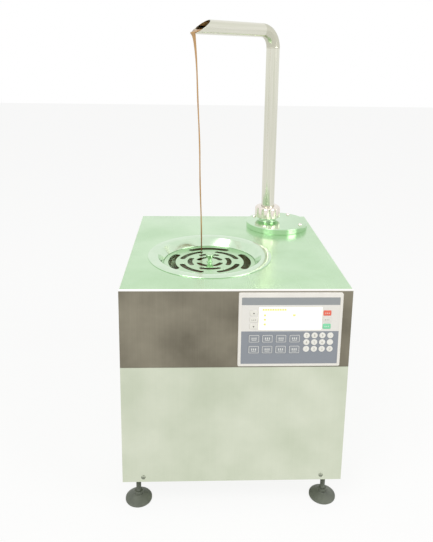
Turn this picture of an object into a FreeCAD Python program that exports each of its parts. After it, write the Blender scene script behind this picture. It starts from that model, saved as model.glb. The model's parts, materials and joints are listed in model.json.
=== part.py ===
"""Table-top chocolate tempering machine, in millimetres.

A stirred tank under a lift-out strainer feeds a vertical tempering screw in a cooled cylinder.  The screw
lifts the chocolate through a bent spout pipe, which pours it back through the strainer.

Frame: X to the right, Y to the back, Z up, with the origin on the ground under the middle of the cabinet.
"""
import FreeCAD
import Part
import math
import os

os.makedirs("parts", exist_ok=True)

# Clearances
RUNNING = 0.05          # radial play of a shaft or screw thread in its hole
SLIDING = 0.3           # play round a piece that drops or lifts into place
SCRAPE = 0.35           # gap between the tempering screw and its cylinder

# Cabinet
BODY_W = 430.0
BODY_D = 476.0
BODY_H = 403.0
SHEET = 1.5
FOOT_H = 62.0           # ground to the underside of the cabinet
TOP_LIP = 4.0           # folded edge round the top cover
BAND_H = 152.5          # upper front panel
PANEL_RETURN = 14.0     # folded edges of the panels
TRAY_LIP = 25.0
PANEL_GAP = 0.3         # shadow gap between neighbouring panels

LEFT = -BODY_W / 2
RIGHT = BODY_W / 2
FRONT = -BODY_D / 2
BACK = BODY_D / 2
BASE = FOOT_H
TOP = FOOT_H + BODY_H
LIP_Z = TOP - TOP_LIP
BAND_Z = LIP_Z - BAND_H

# Levelling feet
FOOT_INSET_X = 28.0
FOOT_INSET_Y = 29.0
PAD_R = 26.5
PAD_EDGE_H = 3.5
PAD_H = 13.0
PAD_NECK_R = 9.0
STEM_R = 5.0
STEM_ABOVE_BASE = 34.0
FOOT_HEX_AF = 16.0
FOOT_HEX_H = 6.0
BOSS_R = 11.0
BOSS_H = 16.0
FOOT_PLACES = {
    "levelling_foot_front_left": (LEFT + FOOT_INSET_X, FRONT + FOOT_INSET_Y),
    "levelling_foot_front_right": (RIGHT - FOOT_INSET_X, FRONT + FOOT_INSET_Y),
    "levelling_foot_rear_left": (LEFT + FOOT_INSET_X, BACK - FOOT_INSET_Y),
    "levelling_foot_rear_right": (RIGHT - FOOT_INSET_X, BACK - FOOT_INSET_Y),
}

# Casing screws
CASE_SCREW_R = 2.0
CASE_SCREW_HEAD_R = 4.5
CASE_SCREW_HEAD_H = 2.4
CASE_SCREW_LEN = 12.0
CASE_SCREW_FROM_SIDE = 40.4
CASE_SCREW_X = RIGHT - CASE_SCREW_FROM_SIDE
CASE_SCREW_UP = 10.0    # above the cabinet's bottom edge

# Tank and strainer
TANK_FROM_LEFT = 170.0
TANK_FROM_FRONT = 181.0
TANK_X = LEFT + TANK_FROM_LEFT
TANK_Y = FRONT + TANK_FROM_FRONT
RIM_R = 131.0
RIM_INNER_R = 110.0
RIM_H = 2.0
RIM_EDGE = 3.0          # rolled outer edge of the rim
TANK_WALL = 2.0
SEAT_R = 98.0           # where the strainer lies
SEAT_DEPTH = 17.0       # top of the cabinet to the strainer's ledge
LEDGE_W = 7.0
TANK_STRAIGHT = 170.0   # top of the cabinet to the end of the straight wall
TANK_DEPTH = 198.0
TANK_FLOOR_R = 30.0
STRAINER_T = 2.0
STRAINER_GAP = 0.8      # round the strainer's edge
SLOT_RINGS = ((73.0, 88.0, 0.0, 66.0), (55.0, 66.0, 45.0, 64.0),
              (37.0, 47.0, 0.0, 62.0), (20.0, 30.0, 45.0, 62.0))
SLOTS_PER_RING = 4
KNOB_STEM_R = 4.0
KNOB_STEM_H = 8.0
KNOB_FOOT_R = 6.5       # shoulder that stands on the disc
KNOB_FOOT_H = 1.5
KNOB_R = 8.5
KNOB_H = 10.0
KNOB_ROUND = 2.5

# Tank heater
HEATER_T = 3.0
HEATER_TOP = 60.0
HEATER_LEN = 90.0

# Stirrer and its gearmotor
STIR_SHAFT_R = 6.0
STIR_HUB_R = 11.0
STIR_HUB_H = 26.0
STIR_TIP_GAP = 4.0
STIR_BLADE_T = 4.0
STIR_BLADE_TOP = 55.0
STIR_ARM_H = 14.0
BUSH_R = 13.0
BUSH_H = 16.0
MOUNT_RING_R = 32.0
MOUNT_RING_WALL = 5.0
MOUNT_RING_H = 14.0
STIR_GEARBOX = 80.0
STIR_GEARBOX_H = 46.0
STIR_MOTOR_R = 32.0
STIR_MOTOR_L = 86.0
SHAFT_ENTRY = 22.0      # how far a driven shaft goes into its gearbox

# Tempering cylinder, screw and gearmotor
CYL_FROM_RIGHT = 87.8
CYL_FROM_BACK = 86.4
CYL_X = RIGHT - CYL_FROM_RIGHT
CYL_Y = BACK - CYL_FROM_BACK
CYL_BORE_R = 38.0
CYL_WALL = 2.0
CYL_LEN = 240.0
CYL_FLANGE_R = 71.0
CYL_FLANGE_T = 8.0
CYL_FLOOR_T = 8.0
JACKET_T = 10.0
JACKET_TOP = 35.0
JACKET_LEN = 140.0
PORT_R = 5.0
PORT_LEN = 12.0
SCREW_SHAFT_R = 10.0
SCREW_END_R = 8.0
SCREW_PITCH = 42.0
SCREW_TURNS = 4.5
SCREW_STEPS = 14        # facets in one turn of the flight
SCREW_FLIGHT_T = 4.0
SCREW_LIFT = 8.0        # flight's start above the cylinder's floor
CYL_GEARBOX = 74.0
CYL_GEARBOX_H = 54.0
CYL_MOTOR_R = 34.0
CYL_MOTOR_L = 76.0

# Transfer pipe, from the tank's cone to the cylinder's wall
TRANSFER_R = 13.0
TRANSFER_WALL = 1.5
TRANSFER_TANK_R = 62.0
TRANSFER_TANK_Z = 286.0
TRANSFER_CYL_Z = 256.0
TRANSFER_COLLAR_R = 16.0
TRANSFER_STUB = 14.0
COLLAR_FROM_TANK = 48.0  # along the pipe, from its end in the tank
COLLAR_FROM_CYL = 24.0

# Flange disc, union and spout pipe
DISC_R = 75.5
DISC_H = 14.0
DISC_SPIGOT_R = 44.0
DISC_BOLT_PCR = 64.0
DISC_BOLT_R = 3.0
DISC_BOLT_HEAD_R = 5.0
DISC_BOLT_HEAD_H = 3.2
DISC_BOLT_ANGLES = (55.0, 145.0, 235.0, 325.0)
PIPE_R = 16.0
PIPE_WALL = 1.6
PIPE_OFF_X = -22.2      # riser from the disc's middle
PIPE_OFF_Y = 10.4
PIPE_X = CYL_X + PIPE_OFF_X
PIPE_Y = CYL_Y + PIPE_OFF_Y
FERRULE_NECK_R = 22.0
FERRULE_NECK_H = 8.0
FERRULE_R = 26.0
FERRULE_H = 17.0
LINER_R = 24.5
LINER_H = 6.0
NUT_R = 31.0
NUT_H = 28.0
NUT_FLUTES = 12
NUT_FLUTE_R = 4.2
NUT_FLUTE_DEPTH = 2.2
NUT_LID = 5.0
ARM_RISE = 474.0        # top of the cabinet to the arm's axis
ARM_HEADING = 220.0     # degrees from +X, towards +Y
ELBOW_R = 39.0
ARM_TOP_LEN = 200.0     # riser axis to the upper end of the slanted cut
ARM_LIP_LEN = 248.0     # riser axis to the lip

# Operator panel
HMI_FROM_RIGHT = 115.0
HMI_X = RIGHT - HMI_FROM_RIGHT
HMI_W = 192.0
HMI_H = 146.0
HMI_DROP = 6.0          # top of the cabinet to the bezel
HMI_PROUD = 6.0
HMI_ROUND = 3.0
HMI_EDGE = 5.5          # bezel border at the sides and bottom
HMI_EDGE_TOP = 7.8
HMI_BEHIND = 32.0
HMI_CUTOUT_INSET = 7.0
OVERLAY_T = 1.0
OVERLAY_SUNK = 0.4
WINDOW_X0 = -58.5       # from the operator panel's middle
WINDOW_X1 = 58.0
WINDOW_Z0 = 71.6        # below the bezel's top, as are the drops of the keys
WINDOW_Z1 = 26.8
LCD_T = 8.0
LCD_MARGIN = 2.5
KEY_TRAVEL = 0.5
KEY_LIP = 0.6
KEY_LIP_T = 1.0
KEY_PROUD = 0.8
KEY_PLAY = 0.1
ROUND_KEY_R = 5.9
ROUND_KEY_X = (31.3, 46.0, 60.75, 75.5)
ROUND_KEY_DROP = (83.4, 97.0, 110.7)
ROUND_KEY_NAMES = (("key_7", "key_8", "key_9", "key_clear"),
                   ("key_4", "key_5", "key_6", "key_point"),
                   ("key_1", "key_2", "key_3", "key_0"))
OBLONG_KEY_W = 20.0
OBLONG_KEY_H = 15.6
OBLONG_KEY_X = (-66.6, -41.7, -16.4, 8.9)
OBLONG_KEY_DROP = (89.3, 111.2)
SIDE_KEY_W = 14.6
SIDE_KEY_H = 10.2
SIDE_KEY_DROP = (38.7, 51.9, 65.1)
SIDE_KEYS = ((-68.1, ("up", "page", "down")), (67.6, ("stop", "reset", "start")))
KEY_ROUND = 1.5

# Cooling circuit
COMP_FROM_RIGHT = 100.0
COMP_FROM_FRONT = 116.0
COMP_X = RIGHT - COMP_FROM_RIGHT
COMP_Y = FRONT + COMP_FROM_FRONT
COMP_R = 66.0
COMP_H = 150.0
COMP_DOME = 32.0
COMP_FEET_H = 8.0
COMP_FOOT_SPAN = 82.0
STUB_REACH = 78.0       # from the can's axis to a stub's end
STUB_OUT_Y = -110.0
STUB_OUT_Z = 180.0
STUB_IN_Z = 150.0
COND_FROM_LEFT = 47.0
COND_W = 152.0
COND_X0 = LEFT + COND_FROM_LEFT
COND_X1 = COND_X0 + COND_W
COND_Z0 = 78.0
COND_H = 172.0
COND_T = 36.0
COND_GAP = 3.0          # between the condenser and the rear panel
SHROUD_T = 14.0
SHROUD_R = 70.0
FAN_R = 66.0
FAN_HUB_R = 20.0
FAN_HUB_L = 16.0
FAN_BLADES = 5
FAN_BLADE_T = 1.5
FAN_BLADE_ROOT = 62.0   # degrees of circle a blade fills at its root
FAN_SHAFT_R = 3.0
FAN_MOTOR_R = 24.0
FAN_MOTOR_L = 38.0
LINE_R = 4.0
LINE_BEND = 16.0
HOT_LINE_GAP = 28.0

# Rear panel
VENT_ROWS = 12
VENT_COLUMNS = 2
VENT_W = 64.0
VENT_H = 5.0
VENT_PITCH_X = 76.0
VENT_PITCH_Z = 13.0
INLET_FROM_RIGHT = 95.0
INLET_X = RIGHT - INLET_FROM_RIGHT
INLET_Z = 112.0
INLET_W = 27.0
INLET_H = 20.0
INLET_FLANGE_W = 48.0
INLET_FLANGE_H = 30.0
INLET_FLANGE_T = 2.5
INLET_DEPTH = 24.0
INLET_PIN_W = 4.0
INLET_PIN_T = 2.0
INLET_PIN_PITCH = 7.0

# Control board, on the left side panel
BOARD_L = 130.0
BOARD_H = 100.0
BOARD_T = 1.6
BOARD_Y = 10.0
BOARD_Z = 330.0
BOARD_STANDOFF = 8.0
STANDOFF_R = 4.0


def box(x0, x1, y0, y1, z0, z1):
    """A block between two corners."""
    return Part.makeBox(x1 - x0, y1 - y0, z1 - z0, FreeCAD.Vector(x0, y0, z0))


def upright(x, y, z0, z1, radius):
    """A vertical cylinder."""
    return Part.makeCylinder(radius, z1 - z0, FreeCAD.Vector(x, y, z0))


def level(x, z, y0, y1, radius):
    """A cylinder along Y."""
    return Part.makeCylinder(radius, y1 - y0, FreeCAD.Vector(x, y0, z), FreeCAD.Vector(0, 1, 0))


def turned(outline, x, y):
    """A solid turned about the vertical through (x, y); the outline is (radius, height) points."""
    points = [FreeCAD.Vector(x + r, y, z) for r, z in outline]
    face = Part.Face(Part.makePolygon(points + points[:1]))
    return face.revolve(FreeCAD.Vector(x, y, 0), FreeCAD.Vector(0, 0, 1), 360)


def panel(x, z, width, height, y0, y1, corner):
    """A plate facing the front, centred on (x, z), with rounded corners."""
    plate = box(x - width / 2, x + width / 2, y0, y1, z - height / 2, z + height / 2)
    return plate.makeFillet(corner, edges_along(plate, FreeCAD.Vector(0, 1, 0)))


def edges_along(shape, direction):
    """The straight edges of a shape that run along a direction."""
    found = []
    for edge in shape.Edges:
        run = edge.Vertexes[-1].Point - edge.Vertexes[0].Point
        if run.Length > 1e-6 and run.normalize().cross(direction).Length < 1e-6:
            found.append(edge)
    return found


def joined(shapes):
    """All the shapes as one."""
    whole = shapes[0].multiFuse(shapes[1:]) if len(shapes) > 1 else shapes[0]
    return whole.removeSplitter()


def around(shape, count, x, y):
    """Copies of a shape, spaced evenly about the vertical through (x, y)."""
    copies = []
    for i in range(count):
        copy = shape.copy()
        copy.rotate(FreeCAD.Vector(x, y, 0), FreeCAD.Vector(0, 0, 1), 360.0 * i / count)
        copies.append(copy)
    return copies


def bent_rod(points, bend, radius):
    """A round rod along straight runs, with a torus piece of one bend radius at each corner."""
    points = [FreeCAD.Vector(*p) for p in points]
    pieces = []
    start = points[0]
    for before, corner, after in zip(points, points[1:], points[2:]):
        along = (corner - before).normalize()
        away = (after - corner).normalize()
        turn = along.getAngle(away)
        set_back = bend * math.tan(turn / 2)
        arc_in = corner - along * set_back
        centre = arc_in + (away - along * away.dot(along)).normalize() * bend
        circle = Part.Face(Part.Wire(Part.makeCircle(radius, arc_in, along)))
        pieces.append(straight_rod(start, arc_in, radius))
        pieces.append(circle.revolve(centre, along.cross(away), math.degrees(turn)))
        start = corner + away * set_back
    pieces.append(straight_rod(start, points[-1], radius))
    return joined(pieces)


def arc_slot(x, y, z0, z1, inner, outer, middle, span):
    """A slot that follows part of a ring, with round ends; its angles are degrees from +X."""
    width = outer - inner
    end = math.degrees(width / (inner + outer))
    sweep = span - 2 * end
    centre = FreeCAD.Vector(x, y, z0)
    axis = FreeCAD.Vector(0, 0, 1)
    height = z1 - z0
    sector = Part.makeCylinder(outer, height, centre, axis, sweep)
    sector = sector.cut(Part.makeCylinder(inner, height, centre))
    sector.rotate(centre, axis, middle - sweep / 2)
    pieces = [sector]
    for angle in (middle - sweep / 2, middle + sweep / 2):
        turn = math.radians(angle)
        ring = (inner + outer) / 2
        pieces.append(upright(x + ring * math.cos(turn), y + ring * math.sin(turn), z0, z1, width / 2))
    return joined(pieces)


def hexagon(x, y, z0, z1, across_flats):
    """A hexagonal prism."""
    r = across_flats / math.sqrt(3)
    points = [FreeCAD.Vector(x + r * math.cos(a), y + r * math.sin(a), z0)
              for a in (math.radians(60 * i) for i in range(7))]
    return Part.Face(Part.makePolygon(points)).extrude(FreeCAD.Vector(0, 0, z1 - z0))


# Cabinet

def base_tray():
    """Folded floor tray with a threaded boss for each foot."""
    inside = SHEET
    x0, x1 = LEFT + inside, RIGHT - inside
    y0, y1 = FRONT + inside, BACK - inside
    tray = box(x0, x1, y0, y1, BASE, BASE + TRAY_LIP)
    tray = tray.cut(box(x0 + SHEET, x1 - SHEET, y0 + SHEET, y1 - SHEET, BASE + SHEET, BASE + TRAY_LIP + 1))
    bosses = [upright(x, y, BASE, BASE + BOSS_H, BOSS_R) for x, y in FOOT_PLACES.values()]
    tray = joined([tray] + bosses)
    for x, y in FOOT_PLACES.values():
        tray = tray.cut(upright(x, y, BASE - 1, BASE + BOSS_H + 1, STEM_R + RUNNING))
    for x, y, _ in front_screw_places():
        tray = tray.cut(level(x, BASE + CASE_SCREW_UP, y - 1, y + CASE_SCREW_LEN, CASE_SCREW_R + RUNNING))
    for x, y, _ in rear_screw_places():
        tray = tray.cut(level(x, BASE + CASE_SCREW_UP, y - CASE_SCREW_LEN, y + 1, CASE_SCREW_R + RUNNING))
    return tray


def front_screw_places():
    """Head side of each screw in the lower front panel."""
    return [(x, FRONT, 1) for x in (-CASE_SCREW_X, CASE_SCREW_X)]


def rear_screw_places():
    """Head side of each screw at the foot of the rear panel."""
    return [(x, BACK, -1) for x in (-CASE_SCREW_X, 0.0, CASE_SCREW_X)]


def casing_screws():
    """Round-head screws through the lower front panel and the rear panel."""
    screws = []
    for x, y, inward in front_screw_places() + rear_screw_places():
        axis = FreeCAD.Vector(0, inward, 0)
        seat = FreeCAD.Vector(x, y, BASE + CASE_SCREW_UP)
        head = Part.makeCone(CASE_SCREW_HEAD_R, CASE_SCREW_HEAD_R * 0.6, CASE_SCREW_HEAD_H, seat, axis * -1)
        shank = Part.makeCylinder(CASE_SCREW_R, CASE_SCREW_LEN, seat, axis)
        screws.append(head.fuse(shank))
    return Part.makeCompound(screws)


def side_panel(side):
    """Side sheet with its top edge folded inwards under the top cover."""
    outer = RIGHT if side > 0 else LEFT
    inner = outer - side * SHEET
    fold = outer - side * PANEL_RETURN
    web = box(min(outer, inner), max(outer, inner), FRONT + SHEET, BACK - SHEET, BASE, LIP_Z)
    top = box(min(outer, fold), max(outer, fold), FRONT + SHEET, BACK - SHEET, LIP_Z - SHEET, LIP_Z)
    return joined([web, top])


def front_panel(z0, z1, return_z0):
    """Front sheet with its side edges folded back inside the side panels."""
    sheet = box(LEFT, RIGHT, FRONT, FRONT + SHEET, z0, z1)
    folds = []
    for side in (-1, 1):
        outer = side * (BODY_W / 2 - SHEET)
        inner = outer - side * SHEET
        folds.append(box(min(outer, inner), max(outer, inner), FRONT, FRONT + PANEL_RETURN, return_z0, z1))
    return joined([sheet] + folds)


def lower_front_panel():
    """Plain panel below the dark band, held by two screws."""
    sheet = front_panel(BASE, BAND_Z - PANEL_GAP, BASE + TRAY_LIP + PANEL_GAP)
    for x, y, _ in front_screw_places():
        sheet = sheet.cut(level(x, BASE + CASE_SCREW_UP, y - 1, y + SHEET + 1, CASE_SCREW_R + RUNNING))
    return sheet


def upper_front_panel():
    """Dark band with the cut-out for the operator panel."""
    sheet = front_panel(BAND_Z, LIP_Z, BAND_Z).cut(
        box(LEFT, RIGHT, FRONT + SHEET, FRONT + PANEL_RETURN + 1, LIP_Z - SHEET - PANEL_GAP, LIP_Z))
    width, height = hmi_cutout()
    return sheet.cut(panel(HMI_X, hmi_z(), width, height, FRONT - 1, FRONT + SHEET + 1, HMI_ROUND))


def rear_panel():
    """Rear sheet with air slots behind the condenser and the hole for the power inlet."""
    sheet = box(LEFT, RIGHT, BACK - SHEET, BACK, BASE, LIP_Z)
    fold = box(LEFT + PANEL_RETURN + PANEL_GAP, RIGHT - PANEL_RETURN - PANEL_GAP,
               BACK - PANEL_RETURN, BACK, LIP_Z - SHEET, LIP_Z)
    sheet = joined([sheet, fold])
    middle_x = (COND_X0 + COND_X1) / 2
    middle_z = COND_Z0 + COND_H / 2
    slots = []
    for i in range(VENT_COLUMNS):
        x = middle_x + (i - (VENT_COLUMNS - 1) / 2) * VENT_PITCH_X
        for j in range(VENT_ROWS):
            z = middle_z + (j - (VENT_ROWS - 1) / 2) * VENT_PITCH_Z
            slots.append(box(x - VENT_W / 2, x + VENT_W / 2, BACK - SHEET - 1, BACK + 1,
                             z - VENT_H / 2, z + VENT_H / 2))
    sheet = sheet.cut(Part.makeCompound(slots))
    sheet = sheet.cut(panel(INLET_X, INLET_Z, INLET_W + 2 * SLIDING, INLET_H + 2 * SLIDING,
                            BACK - SHEET - 1, BACK + 1, 1.0))
    for x, y, _ in rear_screw_places():
        sheet = sheet.cut(level(x, BASE + CASE_SCREW_UP, y - SHEET - 1, y + 1, CASE_SCREW_R + RUNNING))
    return sheet


def top_cover():
    """Lid sheet with folded edges, and holes for the tank and the tempering cylinder's head."""
    lid = box(LEFT, RIGHT, FRONT, BACK, LIP_Z, TOP)
    lid = lid.cut(box(LEFT + SHEET, RIGHT - SHEET, FRONT + SHEET, BACK - SHEET, LIP_Z, TOP - SHEET))
    lid = lid.cut(upright(TANK_X, TANK_Y, LIP_Z, TOP, tank_hole_r()))
    lid = lid.cut(upright(CYL_X, CYL_Y, LIP_Z, TOP, DISC_SPIGOT_R + SLIDING))
    for x, y in bolt_places():
        lid = lid.cut(upright(x, y, LIP_Z, TOP, DISC_BOLT_R + SLIDING))
    return lid


def levelling_foot(x, y):
    """Cone pad, wrench hexagon and screw of one foot."""
    pad = turned([(0, 0), (PAD_R, 0), (PAD_R, PAD_EDGE_H), (PAD_NECK_R, PAD_H), (0, PAD_H)], x, y)
    nut = hexagon(x, y, PAD_H, PAD_H + FOOT_HEX_H, FOOT_HEX_AF)
    stem = upright(x, y, PAD_H, BASE + STEM_ABOVE_BASE, STEM_R)
    return joined([pad, nut, stem])


# Tank, strainer, heater and stirrer

def tank_hole_r():
    """Hole in the top cover under the tank's rim."""
    return RIM_INNER_R + TANK_WALL + 2.0


def tank_inside():
    """Inner outline of the tank, from the rim down to the middle of the floor."""
    wall_r = SEAT_R - LEDGE_W
    return [(RIM_INNER_R, TOP + RIM_H), (SEAT_R, TOP - SEAT_DEPTH + 3), (SEAT_R, TOP - SEAT_DEPTH),
            (wall_r, TOP - SEAT_DEPTH), (wall_r, TOP - TANK_STRAIGHT),
            (wall_r - 12, TOP - TANK_STRAIGHT - 9), (TANK_FLOOR_R, TOP - TANK_DEPTH), (0, TOP - TANK_DEPTH)]


def tank():
    """Spun tank hung by its rim, with a cone floor, a shaft bush, a mounting ring and an outlet hole."""
    w = TANK_WALL
    wall_r = SEAT_R - LEDGE_W
    outside = [(0, TOP - TANK_DEPTH - w), (TANK_FLOOR_R, TOP - TANK_DEPTH - w),
               (wall_r - 12 + w, TOP - TANK_STRAIGHT - 9 - w), (wall_r + w, TOP - TANK_STRAIGHT - 2),
               (wall_r + w, TOP - SEAT_DEPTH - w), (SEAT_R + w, TOP - SEAT_DEPTH - w),
               (SEAT_R + w, TOP - SEAT_DEPTH + 2), (RIM_INNER_R + w, TOP),
               (RIM_R, TOP), (RIM_R, TOP + RIM_H - 0.8), (RIM_R - 0.8, TOP + RIM_H)]
    bowl = turned(tank_inside() + outside, TANK_X, TANK_Y)
    floor_z = TOP - TANK_DEPTH
    bush = upright(TANK_X, TANK_Y, floor_z - BUSH_H, floor_z - w / 2, BUSH_R)
    ring = upright(TANK_X, TANK_Y, floor_z - w - MOUNT_RING_H, floor_z - w / 2, MOUNT_RING_R)
    ring = ring.cut(upright(TANK_X, TANK_Y, floor_z - w - MOUNT_RING_H, floor_z - w,
                            MOUNT_RING_R - MOUNT_RING_WALL))
    whole = joined([bowl, ring, bush])
    whole = whole.cut(upright(TANK_X, TANK_Y, floor_z - BUSH_H - 1, floor_z + 1, STIR_SHAFT_R + RUNNING))
    start, end = transfer_ends()
    return whole.cut(straight_rod(start, end, TRANSFER_R + SLIDING))


def strainer():
    """Slotted lift-out disc, and the knob that is fastened through its middle."""
    z0 = TOP - SEAT_DEPTH
    z1 = z0 + STRAINER_T
    disc = upright(TANK_X, TANK_Y, z0, z1, SEAT_R - STRAINER_GAP)
    holes = [upright(TANK_X, TANK_Y, z0 - 1, z1 + 1, KNOB_STEM_R + RUNNING)]
    for inner, outer, first, span in SLOT_RINGS:
        slot = arc_slot(TANK_X, TANK_Y, z0 - 1, z1 + 1, inner, outer, first, span)
        holes += around(slot, SLOTS_PER_RING, TANK_X, TANK_Y)
    head_z0 = z1 + KNOB_STEM_H
    head_z1 = head_z0 + KNOB_H
    knob = turned([(0, z0), (KNOB_STEM_R, z0), (KNOB_STEM_R, z1), (KNOB_FOOT_R, z1),
                   (KNOB_FOOT_R, z1 + KNOB_FOOT_H), (KNOB_STEM_R, z1 + KNOB_FOOT_H), (KNOB_STEM_R, head_z0),
                   (KNOB_R - KNOB_ROUND, head_z0), (KNOB_R, head_z0 + KNOB_ROUND),
                   (KNOB_R, head_z1 - KNOB_ROUND), (KNOB_R - KNOB_ROUND, head_z1), (0, head_z1)],
                  TANK_X, TANK_Y)
    return Part.makeCompound([disc.cut(Part.makeCompound(holes)), knob])


def tank_heater():
    """Heating band clamped round the tank's straight wall."""
    wall = SEAT_R - LEDGE_W + TANK_WALL
    z1 = TOP - HEATER_TOP
    z0 = z1 - HEATER_LEN
    band = upright(TANK_X, TANK_Y, z0, z1, wall + HEATER_T)
    terminal = box(TANK_X - wall - 16, TANK_X - wall, TANK_Y - 15, TANK_Y + 15, z0 + 30, z0 + 54)
    return joined([band, terminal]).cut(upright(TANK_X, TANK_Y, z0 - 1, z1 + 1, wall))


def stirrer():
    """Anchor stirrer: shaft, hub, two sloping arms and two upright blades."""
    floor_z = TOP - TANK_DEPTH
    reach = SEAT_R - LEDGE_W - STIR_TIP_GAP
    shaft = upright(TANK_X, TANK_Y, stirrer_gearbox_top() - SHAFT_ENTRY, floor_z + STIR_HUB_H + 6, STIR_SHAFT_R)
    hub = upright(TANK_X, TANK_Y, floor_z + 2, floor_z + 2 + STIR_HUB_H, STIR_HUB_R)
    arm_z = TOP - TANK_STRAIGHT + 3
    arm = box(TANK_X, TANK_X + reach, TANK_Y - STIR_BLADE_T / 2, TANK_Y + STIR_BLADE_T / 2,
              arm_z, arm_z + STIR_ARM_H)
    blade = box(TANK_X + reach - 12, TANK_X + reach, TANK_Y - STIR_BLADE_T / 2, TANK_Y + STIR_BLADE_T / 2,
                arm_z, TOP - STIR_BLADE_TOP)
    web = box(TANK_X, TANK_X + 34, TANK_Y - STIR_BLADE_T / 2, TANK_Y + STIR_BLADE_T / 2,
              floor_z + 4, arm_z + STIR_ARM_H)
    side = joined([arm, blade, web])
    return joined([shaft, hub] + around(side, 2, TANK_X, TANK_Y))


def stirrer_gearbox_top():
    """Face of the stirrer's gearbox, under the tank's mounting ring."""
    return TOP - TANK_DEPTH - TANK_WALL - MOUNT_RING_H


def gearmotor(x, y, top, gearbox, gearbox_h, motor_r, motor_l, shaft_r):
    """Square gearbox with a hollow output, over a round motor with a fan cowl."""
    case = box(x - gearbox / 2, x + gearbox / 2, y - gearbox / 2, y + gearbox / 2, top - gearbox_h, top)
    case = case.makeChamfer(6.0, edges_along(case, FreeCAD.Vector(0, 0, 1)))
    cowl = top - gearbox_h - motor_l
    motor = turned([(0, top - gearbox_h), (motor_r, top - gearbox_h), (motor_r, cowl + 20),
                    (motor_r + 2, cowl + 20), (motor_r + 2, cowl + 3), (motor_r - 1, cowl), (0, cowl)], x, y)
    whole = joined([case, motor])
    return whole.cut(upright(x, y, top - SHAFT_ENTRY - 2, top + 1, shaft_r + RUNNING))


# Tempering cylinder and screw

def cylinder_top():
    """Top face of the cylinder's flange, against the underside of the top cover."""
    return TOP - SHEET


def cylinder_floor():
    """Underside of the cylinder, where its gearmotor is bolted on."""
    return cylinder_top() - CYL_LEN


def jacket_ends():
    """Bottom and top of the cooling jacket."""
    top = cylinder_top() - JACKET_TOP
    return top - JACKET_LEN, top


def tempering_cylinder():
    """Flanged cylinder with a cooling jacket, two refrigerant ports and a feed hole."""
    top = cylinder_top()
    floor = cylinder_floor()
    jacket_z0, jacket_z1 = jacket_ends()
    outer = CYL_BORE_R + CYL_WALL
    flange = upright(CYL_X, CYL_Y, top - CYL_FLANGE_T, top, CYL_FLANGE_R)
    wall = upright(CYL_X, CYL_Y, floor, top, outer)
    jacket = upright(CYL_X, CYL_Y, jacket_z0, jacket_z1, outer + JACKET_T)
    ports = [liquid_port(), suction_port()]
    whole = joined([flange, wall, jacket] + ports)
    whole = whole.cut(upright(CYL_X, CYL_Y, floor + CYL_FLOOR_T, top + 1, CYL_BORE_R))
    whole = whole.cut(upright(CYL_X, CYL_Y, floor - 1, top, SCREW_END_R + RUNNING))
    for x, y in bolt_places():
        whole = whole.cut(upright(x, y, top - CYL_FLANGE_T - 1, top + 1, DISC_BOLT_R + RUNNING))
    start, end = transfer_ends()
    return whole.cut(straight_rod(start, end, TRANSFER_R + SLIDING))


def liquid_port_x():
    """X of the port under the jacket, in the middle of the jacket's thickness."""
    return CYL_X - CYL_BORE_R - CYL_WALL - JACKET_T / 2


def liquid_port():
    """Lower port of the jacket, facing down."""
    z = jacket_ends()[0]
    return upright(liquid_port_x(), CYL_Y, z - PORT_LEN, z + 2, LINE_R)


def suction_port():
    """Upper port of the jacket, facing the front."""
    z = jacket_ends()[1] - 20
    reach = CYL_BORE_R + CYL_WALL + JACKET_T + PORT_LEN
    return level(CYL_X, z, CYL_Y - reach, CYL_Y - reach + PORT_LEN + 5, PORT_R)


def tempering_screw():
    """Shaft with a helical flight that lifts the chocolate."""
    floor = cylinder_floor() + CYL_FLOOR_T
    start = floor + SCREW_LIFT
    length = SCREW_PITCH * SCREW_TURNS
    flight = helical_flight(SCREW_SHAFT_R - 1.0, CYL_BORE_R - SCRAPE, SCREW_FLIGHT_T)
    flight.translate(FreeCAD.Vector(CYL_X, CYL_Y, start))
    shaft = upright(CYL_X, CYL_Y, floor + 1, start + length + 6, SCREW_SHAFT_R)
    end = upright(CYL_X, CYL_Y, cylinder_floor() - SHAFT_ENTRY, floor + 2, SCREW_END_R)
    return flight.multiFuse([shaft, end])


def helical_flight(root, tip, thickness):
    """A flight of the tempering screw in short flat facets, rising from z = 0."""
    rows = []
    for i in range(int(SCREW_TURNS * SCREW_STEPS) + 1):
        turn = 2 * math.pi * i / SCREW_STEPS
        ray = FreeCAD.Vector(math.cos(turn), math.sin(turn), 0)
        low = FreeCAD.Vector(0, 0, SCREW_PITCH * i / SCREW_STEPS)
        high = low + FreeCAD.Vector(0, 0, thickness)
        rows.append((ray * root + low, ray * tip + low, ray * tip + high, ray * root + high))
    faces = [facet(*rows[0]), facet(*rows[-1])]
    for a, b in zip(rows, rows[1:]):
        faces += [facet(a[0], a[1], b[1]), facet(a[0], b[1], b[0])]
        faces += [facet(a[3], a[2], b[2]), facet(a[3], b[2], b[3])]
        faces += [facet(a[1], a[2], b[2], b[1]), facet(a[0], a[3], b[3], b[0])]
    return Part.Solid(Part.makeShell(faces))


def facet(*corners):
    """A flat face between points."""
    return Part.Face(Part.makePolygon(list(corners) + [corners[0]]))


def straight_rod(start, end, radius):
    """A cylinder between two points."""
    run = end - start
    return Part.makeCylinder(radius, run.Length, start, run)


def transfer_ends():
    """Ends of the transfer pipe's axis: inside the tank's cone and inside the cylinder's wall."""
    run = FreeCAD.Vector(CYL_X - TANK_X, CYL_Y - TANK_Y, 0)
    away = FreeCAD.Vector(run).normalize()
    start = FreeCAD.Vector(TANK_X, TANK_Y, TRANSFER_TANK_Z) + away * TRANSFER_TANK_R
    end = FreeCAD.Vector(CYL_X, CYL_Y, TRANSFER_CYL_Z) - away * (CYL_BORE_R - 6)
    return start, end


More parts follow.
